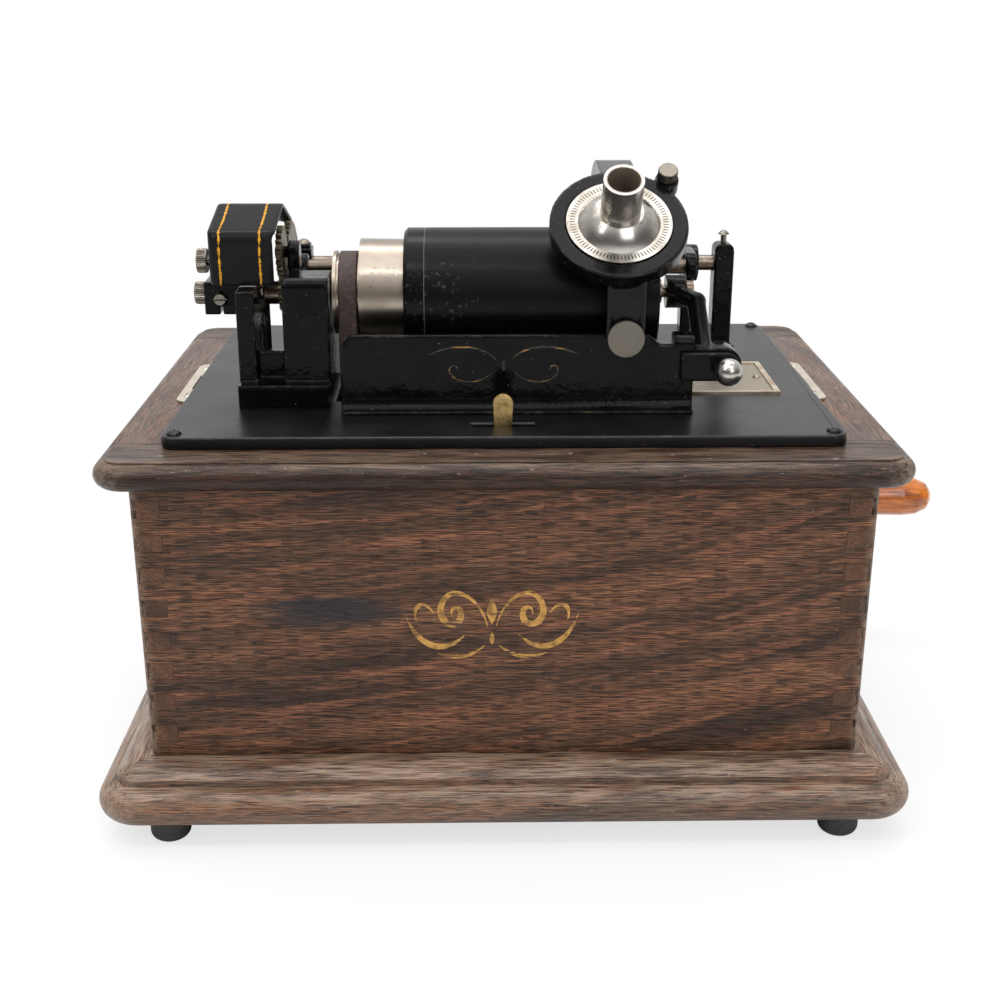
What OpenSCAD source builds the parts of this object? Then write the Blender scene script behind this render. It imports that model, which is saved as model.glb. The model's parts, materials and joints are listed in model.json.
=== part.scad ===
// Spring-driven cylinder phonograph with an oak case, end gate and swinging carriage.
// Millimetres. +Z is up, +Y is the back, +X is the crank side.
// The origin lies on the floor under the middle of the case.

/* [Case] */
// Width of the case boards, left to right
body_w = 299; // [270:1:330]
// Depth of the case boards, front to back
body_d = 216; // [200:1:250]
// Height of the case boards
body_h = 121; // [110:1:150]
// Thickness of the case boards
board_t = 12; // [8:0.5:14]
// Number of comb fingers at each corner
finger_count = 17; // [9:2:25]
// How far the top rim stands out past the boards
rim_over = 12.5; // [11:0.5:16]
// Thickness of the top rim
rim_t = 11.5; // [10:0.5:16]
// Width of each rim rail
rail_w = 30; // [28:0.5:34]
// Depth of the rounded edge on the rim
rim_nose = 5; // [3:0.1:5.2]
// How far the base moulding stands out past the boards
base_over = 22; // [19:0.5:25]
// Height of the base moulding
base_h = 24; // [20:0.5:30]
// Rounding of the rim corners seen from above
rim_corner = 13; // [8:0.5:16]
// Rounding of the base corners seen from above
base_corner = 18; // [14:0.5:18.5]
// Thickness of the bottom board
floor_t = 8; // [5:0.5:12]
// Height of the feet
foot_h = 11; // [8:0.5:16]
// Radius of the feet
foot_r = 8.5; // [7:0.5:10]

/* [Bedplate] */
// Width of the iron bedplate
plate_w = 275; // [270:1:290]
// Depth of the iron bedplate
plate_d = 199; // [192:1:204]
// Thickness of the iron bedplate
plate_t = 5; // [3:0.5:6]
// Length of a lid catch plate
catch_l = 65; // [50:1:80]
// Width of a lid catch plate
catch_w = 7; // [6.5:0.5:9]

/* [Mandrel and record] */
// Height of the mandrel axis above the bedplate
axis_h = 42.5; // [41:0.5:50]
// Front-to-back place of the mandrel axis
axis_y = -23; // [-24:0.5:-21]
// Radius of the mandrel shaft
shaft_r = 5; // [4:0.25:6]
// Radius of the mandrel at its large left end
drum_r = 23.2; // [22.6:0.1:24]
// Outer radius of the record
record_r = 27.78; // [27:0.01:28.5]
// Length of the record
record_l = 107.95; // [105:0.05:109]
// Left end of the record
record_x = -42; // [-46:0.5:-40]
// Radius of the belt pulley on the mandrel
pulley_r = 16; // [14:0.5:17]
// Width of the drive belt
belt_w = 8; // [6:0.5:8.4]
// Thickness of the drive belt
belt_t = 1.6; // [1.2:0.1:2]

/* [Gears] */
// Module of the feed gears
feed_m = 1; // [0.9:0.05:1]
// Teeth on the mandrel gear
mandrel_teeth = 14; // [12:1:16]
// Teeth on the idler gear
idler_teeth = 21; // [20:1:24]
// Teeth on the feed screw gear
feed_teeth = 40; // [38:1:42]
// Module of the motor gears
motor_m = 1.25; // [1.1:0.05:1.25]
// Teeth on the spring barrel
barrel_teeth = 64; // [60:1:66]
// Teeth on each motor pinion
pinion_teeth = 14; // [14:1:16]
// Teeth on the middle wheel
middle_teeth = 48; // [44:1:50]
// Teeth on the wheel that drives the governor
governor_drive_teeth = 38; // [36:1:38]
// Radius of the drive pulley on the motor
drive_r = 20; // [18:0.5:21]

/* [Carriage] */
// Front-to-back place of the back rod
rod_y = 45; // [44:0.5:48]
// Radius of the back rod
rod_r = 3.65; // [3:0.05:4.2]
// Place of the reproducer along the mandrel
repro_x = 47.7; // [40:0.1:48]
// Lean of the reproducer from upright, in degrees
repro_lean = 39; // [36:0.5:41]
// Distance of the reproducer ring from the mandrel axis
repro_reach = 44; // [44:0.1:45]
// Outer radius of the reproducer ring
ring_r = 28.75; // [28:0.05:29.5]
// Radius of the nickel reproducer plate
repro_r = 21.9; // [21:0.1:22.2]
// Outer radius of the horn neck
neck_r = 8.25; // [7.5:0.05:9]
// Height of the horn neck above the ring
neck_h = 25; // [20:0.5:30]

/* [Crank] */
// Front-to-back place of the winding shaft
crank_y = 30; // [28:0.5:32]
// Height of the winding shaft above the floor
crank_z = 75; // [74:0.5:78]
// Length of the crank arm between its centres
crank_l = 62; // [55:1:62]
// Length of the wooden grip
grip_l = 54; // [45:1:70]
// Radius of the wooden grip
grip_r = 10.5; // [8:0.5:11]

/* [Hidden] */
$fn = 64;
eps = 0.01;
// Radial clearance of a shaft that turns in a hole
run = 0.05;
// Space between parts that pass each other
air = 0.4;

// Heights of the case layers
z_body = foot_h + base_h;
z_rim = z_body + body_h;
z_top = z_rim + rim_t;
deck = z_top + plate_t;
axis_z = deck + axis_h;
rim_w = body_w + 2 * rim_over;
rim_d = body_d + 2 * rim_over;
base_w = body_w + 2 * base_over;
base_d = body_d + 2 * base_over;
finger_h = body_h / finger_count;

// Feed gear train, as places in the Y-Z plane and directions from +Y towards +Z
mandrel_c = [axis_y, axis_z];
idler_dir = 77;
idler_reach = feed_m * (mandrel_teeth + idler_teeth) / 2;
idler_c = mandrel_c + idler_reach * [cos(idler_dir), sin(idler_dir)];
feed_dir = -23;
feed_c = idler_c + feed_m * (idler_teeth + feed_teeth) / 2 * [cos(feed_dir), sin(feed_dir)];
idler_turn = idler_dir + 180 + 180 / idler_teeth;
feed_turn = feed_dir + 180 + 180 / feed_teeth - (idler_turn - feed_dir) * idler_teeth / feed_teeth;
gear_x = -97.2;
gear_w = 2.6;
gear_outer = 0.8;
feed_r = 3.3;

// Motor train, with the drive arbor straight under the mandrel
barrel_c = [crank_y, crank_z];
middle_dir = 140;
middle_reach = motor_m * (barrel_teeth + pinion_teeth) / 2;
middle_c = barrel_c + middle_reach * [cos(middle_dir), sin(middle_dir)];
drive_reach = motor_m * (middle_teeth + pinion_teeth) / 2;
drive_dir = acos((axis_y - middle_c[0]) / drive_reach);
drive_c = middle_c + drive_reach * [cos(drive_dir), sin(drive_dir)];
governor_dir = 200;
governor_reach = motor_m * (governor_drive_teeth + pinion_teeth) / 2;
governor_c = drive_c + governor_reach * [cos(governor_dir), sin(governor_dir)];
middle_turn = middle_dir + 180 + 180 / pinion_teeth;
drive_turn = drive_dir + 180 + 180 / pinion_teeth
    - (middle_turn - drive_dir) * middle_teeth / pinion_teeth;
governor_turn = governor_dir + 180 + 180 / pinion_teeth
    - (drive_turn - governor_dir) * governor_drive_teeth / pinion_teeth;
arbor_r = 3;
frame_x = 45;
frame_t = 3;

// Belt plane and pulley sides
flange_x = -72.6;
flange_t = 1.4;
drum_x = -61;
belt_x = (flange_x + flange_t + drum_x) / 2;
belt_gap = 0.3;
belt_reach = axis_z - drive_c[1];

// Mandrel drum
drum_end = 62;
drum_slope = 0.0165;
record_end = record_x + record_l;
shaft_left = -103;
shaft_right = 69.5;

// Gear standard
cheek_x0 = -112;
cheek_x1 = -104.5;
block_x0 = -92.8;
block_x1 = flange_x - 0.6;
bearing_w = 5.2;
std_front = -51;
std_back = -3;
std_top = axis_z + 11;
std_round = 3.5;
std_crest = -30;
plinth_h = 9.8;
plinth_front = std_front - 6.5;
lug_x0 = -128.5;
lug_top = axis_z + 6;

// Gear cover, as a bent section in the Y-Z plane
cover_x0 = -124.5;
cover_x1 = -95.7;
cover_t = 1.8;
cover_round = 4.5;
cover_front = -40;
cover_bend = axis_z + 28.3;
cover_crest = -6;
cover_crest_z = axis_z + 36.5;
cover_back = 21;
cover_back_z = axis_z + 26;
cover_foot = 2;
cover_screw_c = [-28, axis_z + 15];

// Straight edge in front of the record, and the lug at its right end
wall_front = -64;
wall_t = 4;
wall_x0 = -67.6;
wall_x1 = 71;
wall_h = 32.8;
wall_dip = 4.4;
lug_w = 8.2;
lug_back = -52;

// Rear posts and back rod
rod_z = axis_z;
post_x0 = 102.8;
post_x1 = 112;
post_half = 6;
post_top = rod_z + 9.7;
back_post_x0 = -105;
back_post_x1 = -89.8;
back_post_half = 5.5;
back_post_top = rod_z + 8;

// Carriage
sleeve_x0 = 35;
sleeve_x1 = 95;
sleeve_r = 5.5;
collar_r = 8.8;
collar_w = 6;
arm_x0 = 42;
arm_x1 = 57.8;
ring_t = 7;
ring_y = axis_y - repro_reach * sin(repro_lean);
ring_z = axis_z + repro_reach * cos(repro_lean);
lug_place = [21.5, 24.5];
lever_x = (arm_x0 + arm_x1) / 2;
lever_z = deck + 37.7;
lever_drop = 5;
leg_drop = 7;
arch_c = [4, rod_z + 7];
arch_r = 46;
arch_t = 9;

// End gate
gate_x = 92;
gate_z = deck + 19.5;
gate_plate_r = 7.2;
gate_left = wall_x1 + lug_w + air;
gate_arm_r = 4;
pin_r = 2.5;
strap_t = 3;
strap_h = 12;
boss_x = 71.5;
boss_l = 8.5;
cone_r = 2.6;

// Start lever
lever_tab_x = -0.6;
lever_gap = 7.3;
lever_tab_y = rail_w + lever_gap - rim_d / 2;
lever_pivot_y = -45;
lever_bar_z = z_top - 6;

// Crank
crank_arm_x = base_w / 2 + 2;
crank_arm_t = 6;
winding_r = 4;
crank_tilt = 2.5;
grip_c = barrel_c + crank_l * [cos(crank_tilt), sin(crank_tilt)];
grip_x = crank_arm_x + crank_arm_t + 2;

// Shared shapes

// Turns local X, Y, Z into world Y, Z, X, at a place in the Y-Z plane
module along_x(c, x) {
    translate([x, c[0], c[1]]) rotate([90, 0, 90]) children();
}

// Turns local X, Y, Z into world X, Z, -Y, at a place in the X-Z plane
module towards_front(x, y, z) {
    translate([x, y, z]) rotate([90, 0, 0]) children();
}

// Frame of the reproducer ring: local Z leans forward and up
module on_ring() {
    translate([repro_x, ring_y, ring_z]) rotate([repro_lean, 0, 0]) children();
}

module rounded_square(w, d, r) {
    square([w - 2 * r, d], center = true);
    square([w, d - 2 * r], center = true);
    for (sx = [-1, 1], sy = [-1, 1])
        translate([sx * (w / 2 - r), sy * (d / 2 - r)]) circle(r);
}

module disc_x(c, x, r, h) {
    along_x(c, x) cylinder(r = r, h = h);
}

// Round bar between two points
module bar(p, q, r) {
    v = q - p;
    l = norm(v);
    translate(p) rotate([0, acos(v[2] / l), atan2(v[1], v[0])]) cylinder(r = r, h = l);
}

// Gear outline with involute flanks and a working clearance
function inv(a) = tan(a) * 180 / PI - a;
function flank(r, rb) = r > rb ? inv(acos(rb / r)) : 0;
function half_tooth(r, teeth, m) =
    let (rp = m * teeth / 2, rb = rp * cos(20))
    (90 - 12) / teeth + flank(rp, rb) - flank(r, rb);
function gear_points(teeth, m) =
    let (rp = m * teeth / 2, rr = [rp - 1.05 * m, rp - 0.3 * m, rp + 0.25 * m, rp + gear_outer * m])
    [for (i = [0:teeth - 1], s = [-1, 1], k = s < 0 ? [0:3] : [3:-1:0])
        let (a = 360 * i / teeth + s * half_tooth(rr[k], teeth, m))
        rr[k] * [cos(a), sin(a)]];
module gear(teeth, m, w, turn, bore) {
    linear_extrude(w) difference() {
        rotate(turn) polygon(gear_points(teeth, m));
        circle(bore);
    }
}

module screw_head(r, h) {
    difference() {
        cylinder(r1 = r, r2 = 0.7 * r, h = h);
        translate([-r, -0.4, 0.55 * h]) cube([2 * r, 0.8, h]);
    }
}

module dome_screw(r, h) {
    ball = (r * r + h * h) / (2 * h);
    difference() {
        intersection() {
            translate([0, 0, h - ball]) sphere(ball);
            cylinder(r = r + 1, h = h + 1);
        }
        translate([-r, -0.35, 0.5 * h]) cube([2 * r, 0.7, h]);
    }
}

// Moulded block: the section in children(0) runs round a box, with turned corners.
// The section's X starts at the corner centre and ends at the outer edge, r away.
module moulded(w, d, h, r) {
    cw = w / 2 - r;
    cd = d / 2 - r;
    translate([-cw, -cd, 0]) cube([2 * cw, 2 * cd, h]);
    for (s = [0, 180]) rotate(s) {
        translate([cw, cd, 0]) rotate([90, 0, 0]) linear_extrude(2 * cd) children(0);
        translate([-cw, cd, 0]) rotate([90, 0, 90]) linear_extrude(2 * cw) children(0);
        translate([cw, cd, 0]) rotate_extrude(angle = 90) children(0);
        translate([-cw, cd, 0]) rotate(90) rotate_extrude(angle = 90) children(0);
    }
}

// Case

// Section of the rim: a fine step at the top, then a round nose
rim_quirk = 0.8;
module rim_section() {
    nose_h = rim_t - rim_quirk;
    r = (nose_h * nose_h / 4 + rim_nose * rim_nose) / (2 * rim_nose);
    square([rim_corner - rim_nose, rim_t]);
    intersection() {
        translate([rim_corner - r, nose_h / 2]) circle(r);
        translate([rim_corner - rim_nose - eps, 0]) square([rim_nose + 1, nose_h]);
    }
}

module rim_blank() {
    difference() {
        translate([0, 0, z_rim]) moulded(rim_w, rim_d, rim_t, rim_corner) rim_section();
        cube([rim_w - 2 * rail_w, rim_d - 2 * rail_w, 1000], center = true);
    }
}

module rim_end_rail(s) {
    color("saddlebrown") intersection() {
        rim_blank();
        translate([0, s * (rim_d - rail_w) / 2, z_rim + rim_t / 2])
            cube([rim_w + 2, rail_w, rim_t + 2], center = true);
    }
}

// Side rail, with a mortise for the lid hook under the catch plate's slot
module rim_side_rail(s) {
    color("saddlebrown") difference() {
        intersection() {
            rim_blank();
            translate([s * (rim_w - rail_w) / 2, 0, z_rim + rim_t / 2])
                cube([rail_w, rim_d - 2 * rail_w, rim_t + 2], center = true);
        }
        translate([s * (plate_w / 2 + slot_x), 0, z_top]) cube([slot_w, slot_l, 12], center = true);
    }
}

// Section of the base: a round nose below, a ridge above it and a falling land
base_nose_r = 8.25;
land_drop = 4.5;
module base_section() {
    ridge = base_corner - base_nose_r;
    r = (ridge * ridge + land_drop * land_drop) / (2 * land_drop);
    square([ridge, base_h - land_drop - 1]);
    translate([ridge, base_nose_r]) circle(base_nose_r);
    intersection() {
        translate([0, base_h - r]) circle(r);
        square([ridge, base_h]);
    }
}

module base_blank() {
    difference() {
        translate([0, 0, foot_h]) moulded(base_w, base_d, base_h, base_corner) base_section();
        cube([body_w - 2 * board_t, body_d - 2 * board_t, 1000], center = true);
    }
}

// Mitred lengths of the base moulding
mitre = base_over + board_t + 10;
module base_long(s) {
    color("saddlebrown") intersection() {
        base_blank();
        linear_extrude(100) scale([1, s]) polygon([
            [-base_w / 2 - 1, base_d / 2 + 1], [base_w / 2 + 1, base_d / 2 + 1],
            [base_w / 2 - mitre, base_d / 2 - mitre], [mitre - base_w / 2, base_d / 2 - mitre]]);
    }
}

module base_short(s) {
    color("saddlebrown") intersection() {
        base_blank();
        linear_extrude(100) scale([s, 1]) polygon([
            [base_w / 2 + 1, -base_d / 2 - 1], [base_w / 2 + 1, base_d / 2 + 1],
            [base_w / 2 - mitre, base_d / 2 - mitre], [base_w / 2 - mitre, mitre - base_d / 2]]);
    }
}

module base_front() { base_long(-1); }
module base_back() { base_long(1); }
module base_left() { base_short(-1); }
module base_right() { base_short(1); }

module bottom_board() {
    color("peru") translate([0, 0, foot_h + floor_t / 2])
        cube([body_w - 2 * board_t, body_d - 2 * board_t, floor_t], center = true);
}

// Feet, turned with a rounded lower edge
foot_in_x = 29;
foot_in_y = 16.5;
foot_edge = 3.5;
module feet() {
    color("dimgray") for (sx = [-1, 1], sy = [-1, 1])
        translate([sx * (base_w / 2 - foot_in_x), sy * (base_d / 2 - foot_in_y), 0])
            rotate_extrude() {
                square([foot_r - foot_edge, foot_h]);
                translate([0, foot_edge]) square([foot_r, foot_h - foot_edge]);
                translate([foot_r - foot_edge, foot_edge]) circle(foot_edge);
            }
}

// Boards with comb joints at the corners
module long_board(s) {
    color("saddlebrown") intersection() {
        difference() {
            translate([0, s * (body_d - board_t) / 2, z_body + body_h / 2])
                cube([body_w, board_t, body_h], center = true);
            for (i = [1:2:finger_count - 2], sx = [-1, 1])
                translate([sx * (body_w - board_t) / 2, s * (body_d - board_t) / 2,
                        z_body + (i + 0.5) * finger_h])
                    cube([board_t, board_t, finger_h], center = true);
        }
        translate([0, 0, z_body]) linear_extrude(body_h) rounded_square(body_w, body_d, 3);
    }
}

module short_board(s) {
    color("saddlebrown") intersection() {
        difference() {
            translate([s * (body_w - board_t) / 2, 0, z_body + body_h / 2])
                cube([board_t, body_d, body_h], center = true);
            for (i = [0:2:finger_count - 1], sy = [-1, 1])
                translate([s * (body_w - board_t) / 2, sy * (body_d - board_t) / 2,
                        z_body + (i + 0.5) * finger_h])
                    cube([board_t, board_t, finger_h], center = true);
        }
        translate([0, 0, z_body]) linear_extrude(body_h) rounded_square(body_w, body_d, 3);
    }
}

module front_board() { long_board(-1); }
module back_board() { long_board(1); }
module left_board() { short_board(-1); }

module right_board() {
    color("saddlebrown") difference() {
        short_board(1);
        disc_x(barrel_c, body_w / 2 - 2 * board_t, winding_r + 1, 3 * board_t);
    }
}

module rim_front() { rim_end_rail(-1); }
module rim_back() { rim_end_rail(1); }
module rim_left() { rim_side_rail(-1); }
module rim_right() { rim_side_rail(1); }

// Lid catch plates, against the sides of the bedplate, with a slot for the hook
catch_t = 1.2;
catch_r = 5;
slot_x = 2.3;
slot_w = 1.8;
slot_l = 24;
catch_screw_y = catch_l / 2 - 9;
module at_catches() {
    for (s = [0, 180]) rotate(s) translate([plate_w / 2, 0, z_top]) children();
}

module catch_plates() {
    color("silver") at_catches() linear_extrude(catch_t) difference() {
        union() {
            translate([0, -catch_l / 2]) square([catch_w - catch_r, catch_l]);
            translate([0, catch_r - catch_l / 2]) square([catch_w, catch_l - 2 * catch_r]);
            for (s = [-1, 1]) translate([catch_w - catch_r, s * (catch_l / 2 - catch_r)]) circle(catch_r);
        }
        translate([-catch_l, -catch_l]) square([catch_l, 2 * catch_l]);
        translate([slot_x - slot_w / 2, -slot_l / 2]) square([slot_w, slot_l]);
    }
}

module catch_screws() {
    color("silver") at_catches() for (s = [-1, 1])
        translate([slot_x + 0.3, s * catch_screw_y, catch_t]) rotate(70 * s) dome_screw(2.2, 1);
}

// Bedplate and fixed ironwork

module bedplate() {
    color([0.1, 0.1, 0.11]) difference() {
        translate([0, 0, z_top]) linear_extrude(plate_t) rounded_square(plate_w, plate_d, 6);
        translate([belt_x, axis_y, deck]) cube([12, 2 * drive_r + 8, 3 * plate_t], center = true);
        translate([lever_tab_x, lever_tab_y, deck]) cube([26, 6, 3 * plate_t], center = true);
    }
}

module bedplate_screws() {
    color([0.1, 0.1, 0.11]) for (sx = [-1, 1], sy = [-1, 1])
        translate([sx * (plate_w / 2 - 5), sy * (plate_d / 2 - 6), deck])
            rotate(40 + 50 * sx + 30 * sy) dome_screw(3.3, 1.9);
}

plaque_x0 = 62;
plaque_x1 = 122;
plaque_y0 = -38;
plaque_y1 = 15;
plaque_t = 1;
module name_plate() {
    w = plaque_x1 - plaque_x0;
    d = plaque_y1 - plaque_y0;
    color("silver") translate([(plaque_x0 + plaque_x1) / 2, (plaque_y0 + plaque_y1) / 2, deck]) {
        difference() {
            translate([-w / 2, -d / 2, 0]) cube([w, d, plaque_t]);
            translate([-w / 2 + 2.5, -d / 2 + 2.5, plaque_t / 2]) cube([w - 5, d - 5, plaque_t]);
        }
        for (s = [-1, 1]) translate([s * (w / 2 - 6), 0, plaque_t / 2]) screw_head(1.8, 1.2);
    }
}

// Standard that carries the mandrel bearing, the gears and the left end of the feed screw
module gear_standard() {
    bearing_r = 6;
    web_y = 10;
    web_t = 5;
    color([0.09, 0.09, 0.1]) difference() {
        union() {
            translate([cheek_x0, plinth_front, deck])
                cube([block_x1 - cheek_x0, std_back - plinth_front, plinth_h]);
            translate([cheek_x0, std_front, deck])
                cube([cheek_x1 - cheek_x0, std_back - std_front, lug_top - deck]);
            along_x([0, 0], block_x0) linear_extrude(block_x1 - block_x0) {
                polygon([[std_front, deck], [std_front, std_top - std_round],
                    [std_front + std_round, std_top - std_round], [std_front + std_round, std_top],
                    [std_crest, std_top], [std_back, axis_z + 3], [std_back, deck]]);
                translate([std_front + std_round, std_top - std_round]) circle(std_round);
            }
            translate([cheek_x1 - 1, std_front + 7, deck])
                cube([block_x0 - cheek_x1 + 2, web_t, 0.5 * axis_h]);
            translate([block_x0, std_back - 1, deck])
                cube([bearing_w, feed_c[0] + bearing_r - std_back + 1, feed_c[1] - deck]);
            disc_x(feed_c, block_x0, bearing_r, bearing_w);
            translate([lug_x0, axis_y - 8, axis_z - 8])
                cube([cheek_x0 - lug_x0 + 1, 16, lug_top - axis_z + 8]);
            disc_x(idler_c, block_x0, web_y / 2, web_t);
            translate([block_x0, idler_c[0] - web_y / 2, axis_z + 5])
                cube([web_t, web_y, idler_c[1] - axis_z - 5]);
            disc_x(idler_c, gear_x - 1.5, 2.5, block_x0 - gear_x + 2);
        }
        disc_x(mandrel_c, block_x0 - 1, shaft_r + run, block_x1 - block_x0 + 2);
        disc_x(mandrel_c, lug_x0 - 1, arbor_r, cheek_x1 - lug_x0 + 2);
        disc_x(feed_c, block_x0 - 1, arbor_r + run, bearing_w + 2);
        translate([lug_x0 + 6.5, axis_y - 9, axis_z - 9]) cube([1.2, 18, 9]);
    }
}

// Bracket behind the end gate for the right end of the feed screw
bracket_x = 84;
bracket_w = 5;
module feed_bearing() {
    r = 6;
    foot_y = plaque_y1 + 1;
    color([0.09, 0.09, 0.1]) difference() {
        union() {
            translate([bracket_x, foot_y, deck]) cube([bracket_w, 10, feed_c[1] + r - deck]);
            translate([bracket_x - 2, foot_y, deck]) cube([bracket_w + 4, 13, 3]);
            translate([bracket_x, feed_c[0], feed_c[1] - r])
                cube([bracket_w, foot_y + 1 - feed_c[0], 2 * r]);
            disc_x(feed_c, bracket_x, r, bracket_w);
        }
        disc_x(feed_c, bracket_x - 1, arbor_r + run, bracket_w + 2);
    }
}

// Straight edge that guides the carriage, with the lug for the end gate
module straight_edge() {
    top = deck + wall_h;
    dip_x0 = wall_x1 - 12;
    dip_x1 = wall_x1 - 5;
    steps = 10;
    cove = 4.5;
    run_l = wall_x1 + lug_w - wall_x0;
    color([0.09, 0.09, 0.1]) {
        towards_front(0, wall_front + wall_t, 0) linear_extrude(wall_t) polygon(concat(
            [[wall_x0, deck], [wall_x1 + 1, deck], [wall_x1 + 1, top - wall_dip]],
            [for (i = [0:steps]) let (t = i / steps)
                [dip_x1 + (dip_x0 - dip_x1) * t, top - wall_dip * (1 + cos(180 * t)) / 2]],
            [[wall_x0 + 4, top], [wall_x0, top - 5]]));
        translate([wall_x1, wall_front, deck]) cube([lug_w, lug_back - wall_front, wall_h - 4]);
        translate([wall_x1, wall_front + 3, deck])
            cube([lug_w, lug_back - wall_front - 3, wall_h - 1]);
        along_x([wall_front + 3, deck + wall_h - 4], wall_x1) cylinder(r = 3, h = lug_w);
        translate([wall_x0, wall_front, deck]) rotate([90, 0, 90]) linear_extrude(run_l) difference() {
            translate([-cove, 0]) square([cove + 1, cove + 1.2]);
            translate([-cove, cove + 1.2]) circle(cove);
        }
    }
}

// Strap and pin on which the end gate swings
module gate_bracket() {
    left = wall_x1 + 2.5;
    color([0.09, 0.09, 0.1]) {
        towards_front(gate_x, wall_front, gate_z) cylinder(r = strap_h / 2, h = strap_t);
        translate([left, wall_front - strap_t, gate_z - strap_h / 2])
            cube([gate_x - left, strap_t, strap_h]);
        towards_front(gate_x, lug_back + 1, gate_z) cylinder(r = pin_r, h = lug_back + 1 - wall_front);
    }
}

module rear_post_right() {
    corner = 3;
    color([0.09, 0.09, 0.1]) difference() {
        union() {
            translate([post_x0, rod_y - post_half, deck])
                cube([post_x1 - post_x0, 2 * post_half, post_top - corner - deck]);
            translate([post_x0 + corner, rod_y - post_half, deck])
                cube([post_x1 - post_x0 - 2 * corner, 2 * post_half, post_top - deck]);
            for (x = [post_x0 + corner, post_x1 - corner])
                towards_front(x, rod_y + post_half, post_top - corner)
                    cylinder(r = corner, h = 2 * post_half);
            translate([post_x0 - 1.5, rod_y - post_half - 4, deck])
                cube([post_x1 - post_x0 + 3, 2 * post_half + 8, 4]);
        }
        disc_x([rod_y, rod_z], post_x0 - 1, rod_r, post_x1 - post_x0);
    }
}

module rear_post_left() {
    color([0.09, 0.09, 0.1]) difference() {
        translate([back_post_x0, rod_y - back_post_half, deck])
            cube([back_post_x1 - back_post_x0, 2 * back_post_half, back_post_top - deck]);
        disc_x([rod_y, rod_z], back_post_x0 + 1, rod_r, back_post_x1 - back_post_x0);
    }
}

module back_rod() {
    color("silver") disc_x([rod_y, rod_z], back_post_x0 + 1, rod_r, post_x1 - back_post_x0 - 2);
}

module rod_screws() {
    color("silver") {
        translate([(post_x0 + post_x1) / 2, rod_y, post_top]) cylinder(r = 1.4, h = 4);
        translate([(post_x0 + post_x1) / 2, rod_y, post_top + 4]) dome_screw(2.7, 1.8);
        translate([back_post_x1 - 4, rod_y, back_post_top + cover_foot]) dome_screw(3, 2);
    }
}

// Rounds corner b of an outline that comes from a and goes on to c
function bend(a, b, c, r, n = 6) =
    let (u = (a - b) / norm(a - b), v = (c - b) / norm(c - b), half = acos(u * v) / 2,
        middle = b + (u + v) / norm(u + v) * r / sin(half),
        from = b + u * r / tan(half) - middle,
        to = b + v * r / tan(half) - middle,
        turn = atan2(cross(from, to), from * to))
    [for (i = [0:n]) let (s = turn * i / n)
        middle + [from[0] * cos(s) - from[1] * sin(s), from[0] * sin(s) + from[1] * cos(s)]];

// Side outline of the cover, drawn in by t, that ends with the points given
function cover_outline(t, low, end) =
    let (front = [cover_front + t, cover_bend - 0.75 * t], crest = [cover_crest, cover_crest_z - 1.05 * t])
    concat([[cover_front + t, low]],
        bend([cover_front + t, low], front, crest, cover_round - t),
        bend(front, crest, end[0], 2 * cover_round - t), end);

// Form of the cover, drawn in by t, with its upright front edges rounded
module cover_form(x0, x1, t, outline) {
    depth = 100;
    intersection() {
        along_x([0, 0], x0 - 1) linear_extrude(x1 - x0 + 2) polygon(outline);
        translate([(x0 + x1) / 2, cover_front + t + depth / 2, lug_top - 2])
            linear_extrude(60) rounded_square(x1 - x0, depth, cover_round - t);
    }
}

// Bent cover over the gears, closed at the left and fixed to the left rear post
module gear_cover() {
    arm_w = 4.4;
    t = cover_t;
    color([0.08, 0.08, 0.09]) difference() {
        union() {
            difference() {
                cover_form(cover_x0, cover_x1, 0, cover_outline(0, lug_top, [[cover_back, cover_back_z],
                    [cover_back, cover_back_z - 12], [axis_y + 9, lug_top]]));
                cover_form(cover_x0 + t, cover_x1 + 20, t, cover_outline(t, lug_top - 1,
                    [[cover_back + 1, cover_back_z - 1.5 * t], [cover_back + 1, lug_top - 1]]));
            }
            along_x([0, 0], cover_x1 - arm_w) linear_extrude(arm_w) polygon([
                [cover_back - 10, cover_back_z + 2.6], [cover_back - 1, cover_back_z - 0.6],
                [30, cover_back_z - 4], [38, back_post_top + 7], [rod_y - 3.6, back_post_top + cover_foot],
                [rod_y - 1, back_post_top + cover_foot], [rod_y - 1, back_post_top],
                [rod_y - 4, back_post_top], [34, back_post_top + 5], [30, back_post_top + 9],
                [27, back_post_top + 12.5], [cover_back - 1, cover_back_z - 2]]);
            translate([cover_x1 - arm_w, rod_y - 4, back_post_top])
                cube([back_post_x1 - cover_x1 + arm_w - 0.6, 8, cover_foot]);
        }
        disc_x(cover_screw_c, cover_x0 - 1, 2, t + 2);
    }
}

// Pivot screw for the left end of the mandrel shaft
module pivot_screw() {
    tip = shaft_left + 1.2;
    color("silver") {
        disc_x(mandrel_c, lug_x0 - 5, 4.6, 5);
        disc_x(mandrel_c, lug_x0, arbor_r, tip - 2 - lug_x0);
        along_x(mandrel_c, tip - 2) cylinder(r1 = 2, r2 = 0.2, h = 1.8);
    }
}

// Clamp screw across the split lug, and the knurled screw in the side of the cover
module standard_screws() {
    color("silver") {
        towards_front(lug_x0 + 7, axis_y - 8, axis_z - 1) screw_head(3.4, 2.6);
        disc_x(cover_screw_c, cover_x0 - 6.2, 5, 4.2);
        disc_x(cover_screw_c, cover_x0 - 2, 2, 2 + cover_t);
    }
}

// Mandrel group

module mandrel_shaft() {
    color("silver") difference() {
        disc_x(mandrel_c, shaft_left, shaft_r, shaft_right - shaft_left);
        along_x(mandrel_c, shaft_left - 1) cylinder(r1 = 4.1, r2 = 0.4, h = 3.7);
        along_x(mandrel_c, shaft_right - cone_r) cylinder(r1 = 0.2, r2 = cone_r + 1.2, h = cone_r + 1);
    }
}

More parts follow.
